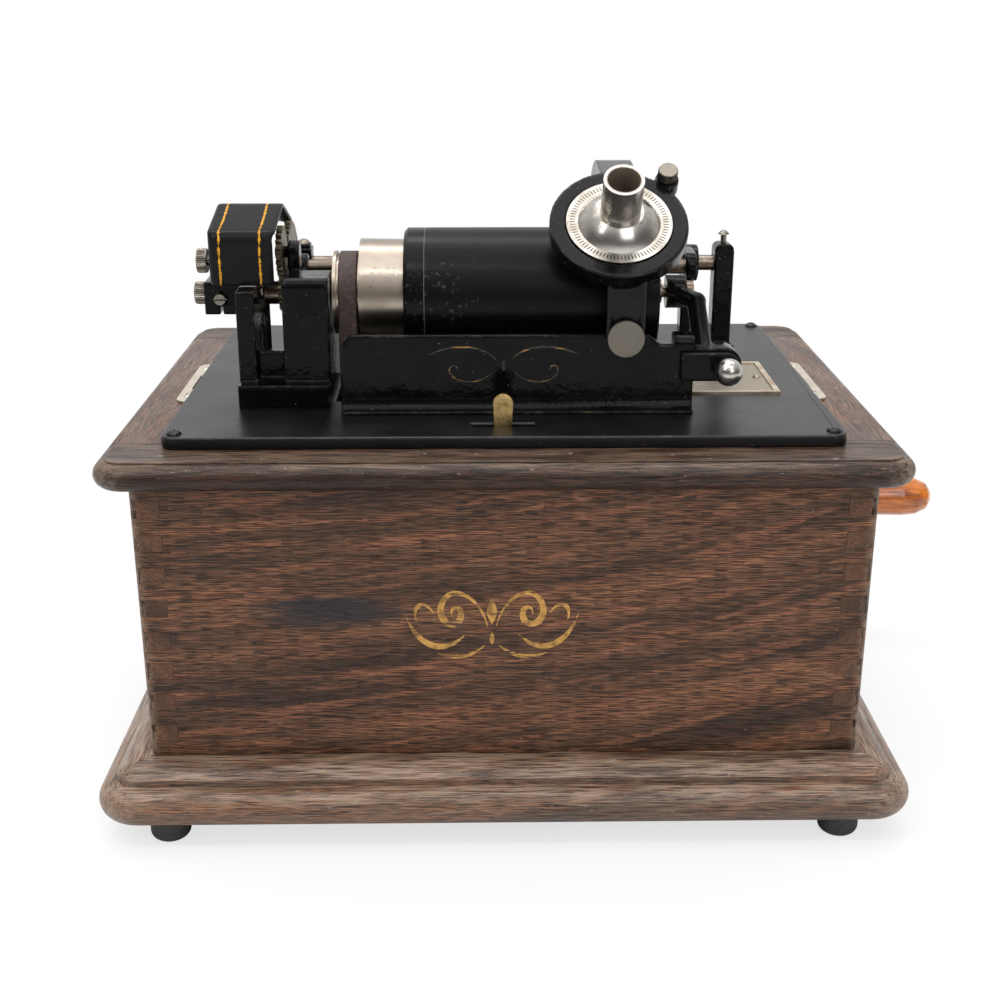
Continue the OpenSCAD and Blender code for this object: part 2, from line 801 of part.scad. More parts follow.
function drum_at(x) = drum_r - drum_slope * (x - drum_x);
module mandrel_drum() {
    wall = 2.6;
    color("silver") along_x(mandrel_c, 0) rotate_extrude() polygon([
        [shaft_r, drum_x], [drum_at(drum_x), drum_x], [drum_at(drum_end), drum_end],
        [shaft_r, drum_end], [shaft_r, drum_end - wall],
        [drum_at(drum_end) - wall, drum_end - wall], [drum_at(drum_x) - wall, drum_x + wall],
        [shaft_r, drum_x + wall]]);
}

module mandrel_pulley() {
    color("silver") along_x(mandrel_c, 0) rotate_extrude() polygon([
        [shaft_r, flange_x], [pulley_r + 2, flange_x], [pulley_r + 2, flange_x + flange_t],
        [pulley_r, flange_x + flange_t], [pulley_r, drum_x], [shaft_r, drum_x]]);
}

module mandrel_gear() {
    color("goldenrod") {
        along_x(mandrel_c, gear_x + 0.4) gear(mandrel_teeth, feed_m, gear_w, idler_dir, shaft_r);
    }
}

module record() {
    bevel = 1.5;
    color([0.05, 0.05, 0.05]) along_x(mandrel_c, 0) rotate_extrude() polygon([
        [drum_at(record_x), record_x], [record_r - bevel, record_x], [record_r, record_x + bevel],
        [record_r, record_end - 0.6], [record_r - 0.6, record_end],
        [drum_at(record_end), record_end]]);
}

module idler_gear() {
    color("goldenrod") along_x(idler_c, gear_x)
        gear(idler_teeth, feed_m, gear_w, idler_turn, 2.5 + run);
}

module feed_screw() {
    thread_x0 = block_x0 + bearing_w + 0.5;
    thread_x1 = bracket_x - 0.5;
    color("silver") {
        disc_x(feed_c, gear_x - 2, arbor_r, thread_x0 - gear_x + 2);
        disc_x(feed_c, thread_x0, feed_r, thread_x1 - thread_x0);
        disc_x(feed_c, thread_x1, arbor_r, bracket_w + 0.5);
    }
}

module feed_gear() {
    color("goldenrod") along_x(feed_c, gear_x)
        gear(feed_teeth, feed_m, gear_w, feed_turn, arbor_r);
}

// Belt round both pulleys: an arc over the top pulley, then one under the lower pulley
function belt_points(t) =
    let (r1 = pulley_r + belt_gap + t, r2 = drive_r + belt_gap + t,
        lean = asin((r2 - r1) / belt_reach), steps = 24)
    concat(
        [for (i = [0:steps])
            let (a = -lean + (180 + 2 * lean) * i / steps)
            r1 * [cos(a), sin(a)]],
        [for (i = [0:steps])
            let (a = 180 + lean + (180 - 2 * lean) * i / steps)
            [r2 * cos(a), r2 * sin(a) - belt_reach]]);

module drive_belt() {
    color([0.35, 0.22, 0.14]) along_x(mandrel_c, belt_x - belt_w / 2)
        linear_extrude(belt_w) difference() {
            polygon(belt_points(belt_t));
            polygon(belt_points(0));
        }
}

// Carriage

module carriage_sleeve() {
    color([0.09, 0.09, 0.1]) difference() {
        union() {
            disc_x([rod_y, rod_z], sleeve_x0, sleeve_r, sleeve_x1 - sleeve_x0);
            disc_x([rod_y, rod_z], sleeve_x0, collar_r, arm_x0 - air - sleeve_x0);
            disc_x([rod_y, rod_z], arm_x1 + air, sleeve_r + 0.8, 4);
            disc_x([rod_y, rod_z], sleeve_x1 - collar_w, collar_r, collar_w);
        }
        disc_x([rod_y, rod_z], sleeve_x0 - 1, rod_r + run, sleeve_x1 - sleeve_x0 + 2);
    }
}

// Cast arm: eye on the sleeve, arch over the feed screw, ring and leg down to the straight edge
module carriage_arm() {
    arm_w = arm_x1 - arm_x0;
    leg_y = ring_y - 17.3;
    leg_top = ring_z - 19;
    nut_z = feed_c[1] + 3;
    color([0.09, 0.09, 0.1]) difference() {
        union() {
            disc_x([rod_y, rod_z], arm_x0, sleeve_r + 3.2, arm_w);
            along_x(arch_c, arm_x0) linear_extrude(arm_w) difference() {
                intersection() {
                    circle(arch_r);
                    square(arch_r);
                }
                circle(arch_r - arch_t);
            }
            translate([arm_x0, arch_c[0] + arch_r - arch_t, rod_z])
                cube([arm_w, arch_t, arch_c[1] - rod_z]);
            along_x([0, 0], arm_x0) linear_extrude(arm_w) polygon([
                [arch_c[0], arch_c[1] + arch_r], [ring_y + 26.5, ring_z + 16.5],
                [ring_y + 20.5, ring_z + 14], [ring_y + 24.5, ring_z + 9.8],
                [arch_c[0], arch_c[1] + arch_r - arch_t]]);
            translate([arm_x0 + 3, feed_c[0] - 4, nut_z])
                cube([arm_w - 6, 8, arch_c[1] + arch_r - 5 - nut_z]);
            on_ring() translate([0, 0, -ring_t]) cylinder(r = ring_r, h = ring_t);
            on_ring() translate([lug_place[0], lug_place[1], -ring_t]) cylinder(r = 5, h = ring_t);
            translate([arm_x0, leg_y, lever_z - leg_drop])
                cube([arm_w, 3.2, leg_top - lever_z + leg_drop]);
            for (x = [arm_x0, arm_x1 - 2])
                translate([x, leg_y - 0.8, lever_z - leg_drop])
                    cube([2, 2, leg_top - 2 - lever_z + leg_drop]);
        }
        disc_x([rod_y, rod_z], arm_x0 - 1, sleeve_r + run, arm_w + 2);
        disc_x(feed_c, arm_x0 - 1, feed_r + air, arm_w + 2);
        on_ring() translate([0, 0, -3]) cylinder(r = repro_r + run, h = 20);
        on_ring() translate([0, 0, -ring_t - 20]) cylinder(r = repro_r - 0.9, h = 40);
        on_ring() translate([lug_place[0], lug_place[1], -20]) cylinder(r = 1.5 + run, h = 40);
        towards_front(lever_x, 0, lever_z) cylinder(r = 2 + run, h = 100);
    }
}

// Nickel plate of the reproducer, spun up to a dome round the neck
dome_r = 17;
dome_top = 7.2;
spigot_r = neck_r - 0.8;
module reproducer_plate() {
    crown = neck_r + 1.4;
    edge = 0.6;
    c = (dome_top * dome_top - edge * edge + crown * crown - dome_r * dome_r) / (2 * (dome_top - edge));
    color("silver") on_ring() difference() {
        rotate_extrude() {
            translate([0, -3]) square([repro_r, 3 + edge]);
            intersection() {
                translate([0, c]) circle(sqrt(dome_r * dome_r + (edge - c) * (edge - c)));
                square([dome_r, dome_top]);
            }
        }
        translate([0, 0, 1]) cylinder(r = spigot_r + run, h = 20);
    }
}

// Neck that takes the horn's sleeve, with a spigot that sits in the dome
module reproducer_neck() {
    wall = 1.6;
    color("silver") on_ring() difference() {
        union() {
            translate([0, 0, 1]) cylinder(r = spigot_r, h = dome_top);
            translate([0, 0, dome_top]) cylinder(r = neck_r, h = neck_h - dome_top);
        }
        cylinder(r = neck_r - wall, h = neck_h + 1);
    }
}

// Body of the reproducer, with two ears and a pin for the floating weight
float_y = 15;
float_z = -13.1;
float_pin_r = 0.9;
module reproducer_body() {
    ear_w = 1.8;
    ear_x = 7.1;
    color([0.2, 0.2, 0.2]) on_ring() {
        translate([0, 0, -10]) cylinder(r = repro_r - 1.9, h = 7);
        for (s = [-1, 1]) translate([s * ear_x - ear_w / 2, float_y - 1.6, float_z - 1.5])
            cube([ear_w, 3.2, -float_z - 10 + 2]);
        translate([-ear_x, float_y, float_z]) rotate([0, 90, 0]) cylinder(r = float_pin_r, h = 2 * ear_x);
    }
}

module thumbscrew() {
    color("silver") on_ring() translate([lug_place[0], lug_place[1], 0]) {
        translate([0, 0, -ring_t - 1]) cylinder(r = 1.5, h = ring_t + 1 + air);
        translate([0, 0, air]) cylinder(r = 3.9, h = 5);
    }
}

// Lift lever with a round finger piece and an eccentric above the straight edge
module lift_lever() {
    face_y = ring_y - 18.1 - air;
    cam_y = wall_front + wall_t - 0.4;
    cam_r = 2.8;
    throw = lever_z - cam_r - 0.3 - deck - wall_h;
    color("silver") {
        towards_front(lever_x, cam_y, lever_z) cylinder(r = 2, h = cam_y + 0.4 - face_y);
        towards_front(lever_x, face_y, lever_z - lever_drop) cylinder(r = 7.5, h = 2.6);
        towards_front(lever_x, cam_y, lever_z - throw) cylinder(r = cam_r, h = 3.6);
    }
}

// Floating weight, hung on the pin, with the stylus under it
module stylus_weight() {
    color("silver") on_ring() {
        difference() {
            union() {
                translate([0, 0, -14.6]) cylinder(r = 14, h = 3);
                translate([-5.8, 8, -14.6]) cube([11.6, float_y + 1.6 - 8, 3]);
            }
            translate([-9, float_y, float_z]) rotate([0, 90, 0]) cylinder(r = float_pin_r + run, h = 18);
        }
        translate([0, 0, -15.3]) cylinder(r1 = 0.3, r2 = 1, h = 1);
    }
}

// End gate

module end_gate() {
    foot_y = wall_front + air;
    foot = [gate_left + gate_arm_r + 0.2, lug_back - 5, gate_z + 4];
    elbow = [gate_left + 3.6, axis_y - 13, axis_z - 2];
    boss_r = 7.2;
    color([0.09, 0.09, 0.1]) difference() {
        union() {
            towards_front(gate_x, lug_back, gate_z) cylinder(r = gate_plate_r, h = lug_back - foot_y);
            translate([gate_left, foot_y, gate_z])
                cube([gate_x - gate_left, lug_back - foot_y, gate_plate_r]);
            bar(foot, elbow, gate_arm_r);
            translate(elbow) sphere(gate_arm_r + 0.3);
            bar(elbow, [boss_x + boss_l / 2, axis_y, axis_z], gate_arm_r);
            disc_x(mandrel_c, boss_x, boss_r, boss_l);
        }
        towards_front(gate_x, 0, gate_z) cylinder(r = pin_r + run, h = 200);
        disc_x(mandrel_c, boss_x - 1, arbor_r, boss_l + 2);
        disc_x(mandrel_c, boss_x + boss_l, 5, 20);
    }
}

module gate_centre() {
    tip = shaft_right - cone_r + air;
    color("silver") {
        along_x(mandrel_c, tip) cylinder(r1 = 0.2, r2 = cone_r, h = cone_r - 0.2);
        disc_x(mandrel_c, tip + cone_r - 0.2, cone_r, boss_x - tip - cone_r + 0.2);
        disc_x(mandrel_c, boss_x, arbor_r, boss_l);
        disc_x(mandrel_c, boss_x + boss_l, 4.6, 3.4);
    }
}

module gate_knob() {
    face_y = wall_front - strap_t;
    ball = 5.7;
    color("silver") {
        towards_front(gate_x, face_y, gate_z) cylinder(r = 4.2, h = 3.4);
        towards_front(gate_x, face_y - 2 - ball, gate_z) sphere(ball);
    }
}

module start_lever() {
    color("goldenrod") difference() {
        union() {
            translate([lever_tab_x - 3, lever_tab_y - 0.75, lever_bar_z]) cube([6, 1.5, 11.5 + plate_t]);
            translate([lever_tab_x, lever_tab_y + 0.75, deck + 9]) rotate([90, 0, 0])
                cylinder(r = 4.1, h = 1.5);
            translate([lever_tab_x - 4, lever_tab_y - 0.75, lever_bar_z])
                cube([8, lever_pivot_y - lever_tab_y, 2]);
            translate([lever_tab_x, lever_pivot_y, lever_bar_z]) cylinder(r = 6, h = 2);
        }
        translate([lever_tab_x, lever_pivot_y, lever_bar_z - 1]) cylinder(r = 2.5 + run, h = 4);
    }
}

module lever_pivot() {
    color("silver") translate([lever_tab_x, lever_pivot_y, 0]) {
        translate([0, 0, lever_bar_z - 2.4]) cylinder(r = 2.5, h = z_top - lever_bar_z + 2.4);
        translate([0, 0, lever_bar_z - 2.4]) cylinder(r = 4.6, h = 2);
    }
}

// Motor hung under the bedplate

// Planes of the motor gears, wheels and pinions, along X
wheel_t = 3;
pinion_t = 6;
pinion_over = 1.5;
middle_wheel_x = -20;
governor_wheel_x = -33;
frame_below = 30;
frame_reach = 44;
frame_step = 22;
frame_foot = 14;
pillar_in = 6;
module motor_frame() {
    plate_y0 = governor_c[0] - 15;
    plate_y1 = crank_y + frame_reach;
    plate_z0 = crank_z - frame_reach;
    front_z = governor_c[1] - 2 * pillar_in - frame_below;
    corners = [[plate_y0 + 8, front_z + 8], [plate_y1 - pillar_in, z_top - 8],
        [plate_y1 - pillar_in, plate_z0 + pillar_in], [8 - frame_step, plate_z0 + pillar_in]];
    color("gray") difference() {
        union() {
            for (x = [-frame_x, frame_x - frame_t])
                along_x([0, 0], x) linear_extrude(frame_t) polygon([
                    [plate_y0, z_top], [plate_y0, front_z], [-frame_step, plate_z0],
                    [plate_y1, plate_z0], [plate_y1, z_top], [plate_y1 - frame_foot, z_top],
                    [plate_y1 - frame_foot, z_top - frame_foot], [plate_y0 + frame_foot, z_top - 5],
                    [plate_y0 + frame_foot, z_top]]);
            for (c = corners) disc_x(c, -frame_x, 4, 2 * frame_x);
        }
        for (c = [middle_c, drive_c, governor_c])
            disc_x(c, -frame_x - 1, arbor_r + run, 2 * frame_x + 2);
        disc_x(barrel_c, -frame_x - 1, winding_r + run, 2 * frame_x + 2);
    }
}

barrel_x0 = -4;
barrel_x1 = 34;
module spring_barrel() {
    r = motor_m * barrel_teeth / 2 - 5;
    color("goldenrod") {
        along_x(barrel_c, barrel_x0 - 4)
            gear(barrel_teeth, motor_m, 4, middle_dir, winding_r + run);
        along_x(barrel_c, 0) rotate_extrude() polygon([
            [winding_r + run, barrel_x0], [r, barrel_x0], [r, barrel_x1], [winding_r + run, barrel_x1],
            [winding_r + run, barrel_x1 - 2.5], [r - 2.5, barrel_x1 - 2.5],
            [r - 2.5, barrel_x0 + 2.5], [winding_r + run, barrel_x0 + 2.5]]);
    }
}

module middle_arbor() {
    color("goldenrod") {
        disc_x(middle_c, -frame_x, arbor_r, 2 * frame_x);
        along_x(middle_c, barrel_x0 - 5) gear(pinion_teeth, motor_m, pinion_t, middle_turn, arbor_r);
        along_x(middle_c, middle_wheel_x) gear(middle_teeth, motor_m, wheel_t, middle_turn, arbor_r);
        disc_x(middle_c, middle_wheel_x + wheel_t, 6, 8);
    }
}

module drive_arbor() {
    pulley_x = belt_x - belt_w / 2 - 0.6;
    color("goldenrod") {
        disc_x(drive_c, pulley_x, arbor_r, frame_x - pulley_x);
        along_x(drive_c, middle_wheel_x - pinion_over)
            gear(pinion_teeth, motor_m, pinion_t, drive_turn, arbor_r);
        along_x(drive_c, governor_wheel_x)
            gear(governor_drive_teeth, motor_m, wheel_t, drive_turn, arbor_r);
        along_x(drive_c, 0) rotate_extrude() polygon([
            [arbor_r, pulley_x - 1.4], [drive_r + 1.5, pulley_x - 1.4], [drive_r + 1.5, pulley_x],
            [drive_r, pulley_x], [drive_r, pulley_x + belt_w + 1.2], [arbor_r, pulley_x + belt_w + 1.2]]);
    }
}

// Governor: pinion, two collars, three weights on leaf springs and a friction disc
module governor() {
    hub0 = -12;
    hub1 = 30;
    color("goldenrod") {
        disc_x(governor_c, -frame_x, arbor_r, 2 * frame_x);
        along_x(governor_c, governor_wheel_x - pinion_over)
            gear(pinion_teeth, motor_m, pinion_t, governor_turn, arbor_r);
        for (x = [hub0, hub1 - 6]) disc_x(governor_c, x, 6.5, 6);
        disc_x(governor_c, hub1, 13, 3);
        for (a = [0:120:240]) along_x(governor_c, 0) rotate(a) {
            translate([6.2, -2, hub0]) cube([0.8, 4, hub1 - hub0]);
            translate([8.8, 0, (hub0 + hub1) / 2 - 4]) cylinder(r = 4, h = 8);
        }
    }
}

module winding_crank() {
    color("dimgray") {
        disc_x(barrel_c, -frame_x, winding_r, crank_arm_x + crank_arm_t + 1.5 + frame_x);
        disc_x(barrel_c, barrel_x1 + 1, 12, 4);
        disc_x(barrel_c, crank_arm_x, 8, crank_arm_t);
        disc_x(grip_c, crank_arm_x, 7, crank_arm_t);
        along_x(barrel_c, crank_arm_x + 0.5) rotate(crank_tilt)
            translate([0, -5]) cube([crank_l, 10, crank_arm_t - 1]);
        disc_x(grip_c, crank_arm_x - 0.8, arbor_r, grip_x + grip_l - 7.2 - crank_arm_x);
    }
}

module crank_grip() {
    color("chocolate") along_x(grip_c, grip_x) rotate_extrude() polygon([
        [arbor_r + run, 0], [7, 0], [8, 4], [grip_r - 0.8, 14], [grip_r, grip_l - 16],
        [grip_r - 0.7, grip_l - 8], [grip_r - 3.2, grip_l - 2.6], [grip_r - 6, grip_l - 0.6],
        [0, grip_l], [0, grip_l - 7], [arbor_r + run, grip_l - 7]]);
}

base_front();
base_back();
base_left();
base_right();
bottom_board();
feet();
front_board();
back_board();
left_board();
right_board();
rim_front();
rim_back();
rim_left();
rim_right();
catch_plates();
catch_screws();
bedplate();
bedplate_screws();
name_plate();
gear_standard();
straight_edge();
gate_bracket();
rear_post_right();
rear_post_left();
back_rod();
rod_screws();
gear_cover();
pivot_screw();
standard_screws();
feed_bearing();
mandrel_shaft();
mandrel_drum();
mandrel_pulley();
mandrel_gear();
record();
idler_gear();
feed_screw();
feed_gear();
drive_belt();
carriage_sleeve();
carriage_arm();
reproducer_plate();
reproducer_neck();
reproducer_body();
thumbscrew();
lift_lever();
stylus_weight();
end_gate();
gate_centre();
gate_knob();
start_lever();
lever_pivot();
motor_frame();
spring_barrel();
middle_arbor();
drive_arbor();
governor();
winding_crank();
crank_grip();
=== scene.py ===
import json
import math

import bmesh
import bpy
from mathutils import Matrix, Vector


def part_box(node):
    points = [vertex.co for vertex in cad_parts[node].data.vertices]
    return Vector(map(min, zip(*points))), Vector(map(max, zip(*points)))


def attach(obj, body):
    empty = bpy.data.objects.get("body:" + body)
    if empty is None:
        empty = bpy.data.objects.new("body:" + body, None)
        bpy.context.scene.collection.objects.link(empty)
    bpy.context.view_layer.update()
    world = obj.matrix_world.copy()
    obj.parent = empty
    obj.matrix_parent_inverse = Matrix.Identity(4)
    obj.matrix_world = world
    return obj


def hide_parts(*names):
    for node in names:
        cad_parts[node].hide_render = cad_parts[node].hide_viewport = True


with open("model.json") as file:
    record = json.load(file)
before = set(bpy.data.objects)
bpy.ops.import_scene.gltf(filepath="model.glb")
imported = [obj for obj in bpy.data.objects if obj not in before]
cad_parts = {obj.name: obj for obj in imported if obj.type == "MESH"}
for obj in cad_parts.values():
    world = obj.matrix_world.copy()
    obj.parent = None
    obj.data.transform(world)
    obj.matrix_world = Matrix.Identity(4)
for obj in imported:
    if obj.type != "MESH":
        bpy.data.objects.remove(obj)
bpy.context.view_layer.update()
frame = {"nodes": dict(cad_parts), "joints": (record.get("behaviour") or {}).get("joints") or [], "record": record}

# The oak case: base moulding, comb-jointed boards and the rim that carries the works.
# Plain-sawn oak, fumed dark and rubbed with shellac, now dry and grey at the corners, where a painted highlight is
# mixed in, with dust and a painted sheen on top.
# The long pieces are cut with the grain left to right, the short ones front to back.
MM = 0.001
OAK_DEEP = "40291d"
OAK_BROWN = "6e4b35"
OAK_WARM = "8d6142"
OAK_FLECK = "a0684b"
OAK_END = "5c4232"
OAK_PORE = "170f0b"
# Pale dry oak, also used for a painted highlight at the corners; below it, grey dust with a painted sheen for
# faces that look up.
OAK_DRY_AND_SHEEN = "a8937f"
OAK_DUST_AND_SHEEN = "b09680"
OAK_GAP = "54473e"
OAK_FIBRE = "b5a89e"
WHITE = "ffffff"
INK = "232428"
INK_PLACE = (-71.6 * MM, 100.8 * MM)
INK_REACH = (38 * MM, 10 * MM)
DUST = "b3a99f"
EASED_EDGE = 0.3 * MM
WELD_REACH = 0.005 * MM
# Steps of the patterns in the wood, along the grain and across it
SHADE_STEP = (200 * MM, 16 * MM)
FLECK_STEP = (70 * MM, 4.5 * MM)
FIBRE_STEP = (12 * MM, 0.32 * MM)
PORE_STEP = (7 * MM, 0.3 * MM)
BLEACHED_STEP = (16 * MM, 0.6 * MM)
CLEANED_STEP = (40 * MM, 6 * MM)
# Slope of a pattern at the middle of a board, and how much it grows in a metre
SHADE_SLOPE = (0.16, 0.5)
FLECK_SLOPE = (0.2, 0.6)
FIBRE_DEPTH = 0.22 * MM


def colour(code):
    """A screen colour, written as hex red, green and blue, as light values."""
    parts = [int(code[i:i + 2], 16) / 255 for i in (0, 2, 4)]
    return [c / 12.92 if c < 0.04045 else ((c + 0.055) / 1.055) ** 2.4 for c in parts] + [1]


def new_finish(name):
    """A new material and its node tree."""
    material = bpy.data.materials.new(name)
    material.use_nodes = True
    return material, material.node_tree


def feed(tree, socket, value):
    """Links a socket to another one, or sets it to a value."""
    if isinstance(value, bpy.types.NodeSocket):
        tree.links.new(value, socket)
    else:
        socket.default_value = value


def show(tree, name, value):
    """Links or sets one of the shader's own sockets."""
    feed(tree, tree.nodes["Principled BSDF"].inputs[name], value)


def put(tree, kind, inputs=None, **settings):
    """Adds a shader node with its settings and inputs."""
    node = tree.nodes.new("ShaderNode" + kind)
    for key, value in settings.items():
        setattr(node, key, value)
    for key, value in (inputs or {}).items():
        feed(tree, node.inputs[key], value)
    return node


def calc(tree, operation, *values):
    """One step of arithmetic."""
    node = put(tree, "Math", operation=operation)
    for socket, value in zip(node.inputs, values):
        feed(tree, socket, value)
    return node.outputs[0]


def rise(tree, value, low, high):
    """A smooth step from 0 at low to 1 at high."""
    inputs = {"Value": value, "From Min": low, "From Max": high}
    return put(tree, "MapRange", inputs, interpolation_type="SMOOTHSTEP").outputs[0]


def mix(tree, factor, first, second, how="MIX"):
    """Lays the second colour over the first."""
    inputs = {0: factor, 6: first, 7: second}
    return put(tree, "Mix", inputs, data_type="RGBA", blend_type=how).outputs[2]


def tints(tree, factor, *stops):
    """A ramp through (place, hex colour) stops."""
    node = put(tree, "ValToRGB", {"Fac": factor})
    band = node.color_ramp
    while len(band.elements) < len(stops):
        band.elements.new(0.5)
    for element, (place, code) in zip(band.elements, stops):
        element.position = place
        element.color = colour(code)
    return node.outputs[0]


def spot(tree, size, shift=(0, 0, 0)):
    """Places on the piece, counted in steps of one size, or of one size each along X, Y and Z."""
    steps = size if isinstance(size, tuple) else (size, size, size)
    here = put(tree, "TexCoord").outputs["Object"]
    inputs = {"Vector": here, "Scale": [1 / step for step in steps], "Location": shift}
    return put(tree, "Mapping", inputs).outputs[0]


def noise(tree, place, detail=2.0, roughness=0.5):
    """Cloudy variation from 0 to 1, one cloud per step."""
    inputs = {"Vector": place, "Scale": 1.0, "Detail": detail, "Roughness": roughness}
    return put(tree, "TexNoise", inputs).outputs[0]


def axes(tree):
    """X, Y and Z of a place on the piece, in metres."""
    here = put(tree, "TexCoord").outputs["Object"]
    return put(tree, "SeparateXYZ", {"Vector": here}).outputs


def bump(tree, height, depth, over=None):
    """A normal that follows a height, from 0 to depth, on top of another normal."""
    inputs = {"Height": height, "Distance": depth, "Strength": 1.0}
    if over is not None:
        inputs["Normal"] = over
    return put(tree, "Bump", inputs).outputs[0]


def grain_size(grain, length, across):
    """Step sizes for a pattern that runs along X or along Y."""
    return (length, across, across) if grain == "X" else (across, length, across)


def slanted(tree, grain, step, slope):
    """Places in steps along and across the grain, on lines that climb at a growing slope."""
    x, y, z = axes(tree)
    along, level = (x, y) if grain == "X" else (y, x)
    steep = calc(tree, "MULTIPLY_ADD", along, slope[1], slope[0])
    climb = calc(tree, "MULTIPLY", along, steep)
    girth = calc(tree, "SUBTRACT", z, calc(tree, "ABSOLUTE", level))
    across = calc(tree, "DIVIDE", calc(tree, "SUBTRACT", girth, climb), step[1])
    return put(tree, "CombineXYZ", {0: calc(tree, "DIVIDE", along, step[0]), 1: across}).outputs[0]


def facing(tree, axis):
    """How far a face looks along X, Y or Z, from -1 to 1."""
    normal = put(tree, "NewGeometry").outputs["Normal"]
    return put(tree, "SeparateXYZ", {0: normal}).outputs[axis]


def oak_pattern(tree, grain, figure):
    """Oak as (colour, height): broad shade, slanting flecks, fine fibres, pores and end grain."""
    shade = noise(tree, slanted(tree, grain, SHADE_STEP, SHADE_SLOPE), 1.0, 0.4)
    flecks = noise(tree, slanted(tree, grain, FLECK_STEP, FLECK_SLOPE), 2.0, 0.4)
    fibres = noise(tree, spot(tree, grain_size(grain, *FIBRE_STEP), (7, 3, 5)), 1.0, 0.5)
    pores = noise(tree, spot(tree, grain_size(grain, *PORE_STEP), (2, 9, 4)), 0.0, 0.4)
    wood = tints(tree, shade, (0.3, OAK_DEEP), (0.5, OAK_BROWN), (0.72, OAK_WARM))
    lit = calc(tree, "MULTIPLY", rise(tree, flecks, 0.48, 0.66), rise(tree, fibres, 0.05, 0.35))
    wood = mix(tree, calc(tree, "MULTIPLY", lit, figure), wood, colour(OAK_FLECK))
    streak = tints(tree, fibres, (0.34, OAK_GAP), (0.45, OAK_FIBRE), (0.55, WHITE))
    wood = mix(tree, 0.9, wood, streak, "MULTIPLY")
    pore = rise(tree, pores, 0.56, 0.6)
    wood = mix(tree, calc(tree, "MULTIPLY", pore, 0.85), wood, colour(OAK_PORE))
    end = rise(tree, calc(tree, "ABSOLUTE", facing(tree, grain)), 0.6, 0.9)
    wood = mix(tree, calc(tree, "MULTIPLY", end, 0.2), wood, colour(OAK_END))
    height = calc(tree, "MULTIPLY", calc(tree, "SUBTRACT", fibres, pore), 0.6)
    return wood, height


def ink_stain(tree, wood):
    """Lays a ragged stain of ink over the wood of the front board."""
    here = axes(tree)
    far_x = calc(tree, "DIVIDE", calc(tree, "SUBTRACT", here[0], INK_PLACE[0]), INK_REACH[0])
    far_z = calc(tree, "DIVIDE", calc(tree, "SUBTRACT", here[2], INK_PLACE[1]), INK_REACH[1])
    square_x = calc(tree, "MULTIPLY", far_x, far_x)
    square_z = calc(tree, "MULTIPLY", far_z, far_z)
    ragged = noise(tree, spot(tree, (30 * MM, 30 * MM, 4 * MM)), 3.0)
    edge = calc(tree, "ADD", calc(tree, "ADD", square_x, square_z), ragged)
    wet = rise(tree, calc(tree, "MULTIPLY", edge, -1.0), -1.5, -0.5)
    return mix(tree, calc(tree, "MULTIPLY", wet, 0.92), wood, colour(INK))


def oak(name, grain, half_size, dry_sheen_reach, figure, faded, dust_and_sheen_level, tone, gloss, stained=False):
    """Fumed oak, dry and with a painted highlight at the outer corners, dusty and with a painted sheen on top and,
    on one board, stained with ink.
    """
    material, tree = new_finish(name)
    wood, height = oak_pattern(tree, grain, figure)
    wood = mix(tree, 1.0, wood, colour(tone), "MULTIPLY")
    bleached = noise(tree, spot(tree, grain_size(grain, *BLEACHED_STEP), (1, 6, 2)), 2.0, 0.5)
    pale = calc(tree, "MULTIPLY", rise(tree, bleached, 0.38, 0.6), faded)
    wood = mix(tree, pale, wood, colour(OAK_DRY_AND_SHEEN))
    if stained:
        wood = ink_stain(tree, wood)
    # Near the upright corners the wood is mixed towards pale dry oak: wear, and a painted highlight where the
    # rounded corner catches the light.
    ends = [rise(tree, calc(tree, "ABSOLUTE", place), half - dry_sheen_reach, half)
            for place, half in zip(axes(tree), half_size)]
    rubbed = rise(tree, noise(tree, spot(tree, 3 * MM), 3.0, 0.7), 0.25, 0.75)
    dry_and_sheen = calc(tree, "MULTIPLY", calc(tree, "MULTIPLY", *ends), rubbed)
    wood = mix(tree, calc(tree, "MULTIPLY", dry_and_sheen, 0.6), wood, colour(OAK_DRY_AND_SHEEN))
    # Faces that look up are laid over with grey: dust, and a painted sheen of the bright room they face.
    upward = rise(tree, facing(tree, "Z"), 0.15, 0.95)
    cleaned = noise(tree, spot(tree, grain_size(grain, *CLEANED_STEP)), 2.0)
    grey_and_sheen_top = calc(tree, "MULTIPLY", upward, rise(tree, cleaned, 0.32, 0.6))
    dust_and_sheen = calc(tree, "MULTIPLY", grey_and_sheen_top, rise(tree, bleached, 0.36, 0.58))
    wood = mix(tree, calc(tree, "MULTIPLY", dust_and_sheen, dust_and_sheen_level), wood, colour(OAK_DUST_AND_SHEEN))
    specks = rise(tree, noise(tree, spot(tree, 0.9 * MM), 1.0), 0.7, 0.77)
    lint = rise(tree, noise(tree, spot(tree, (4 * MM, 4 * MM, 0.7 * MM), (5, 1, 8)), 1.0), 0.74, 0.78)
    dusty = calc(tree, "ADD", calc(tree, "MULTIPLY", specks, calc(tree, "ADD", upward, 0.12)), lint)
    wood = mix(tree, calc(tree, "MULTIPLY", dusty, 0.4), wood, colour(DUST))
    show(tree, "Base Color", wood)
    patch = noise(tree, spot(tree, (30 * MM, 30 * MM, 12 * MM)), 2.0)
    show(tree, "Roughness", calc(tree, "MULTIPLY_ADD", patch, 0.3, 0.2))
    show(tree, "Normal", bump(tree, height, FIBRE_DEPTH))
    show(tree, "Specular IOR Level", gloss)
    return material


def dress(material, *names):
    """Gives CAD nodes their finish."""
    for name in names:
        slots = frame["nodes"][name].data.materials
        slots.clear()
        slots.append(material)


def welded(name):
    """A CAD node with the loose triangles of its mesh joined by a modifier."""
    piece = frame["nodes"][name]
    weld = piece.modifiers.new("weld", "WELD")
    weld.merge_threshold = WELD_REACH
    return piece


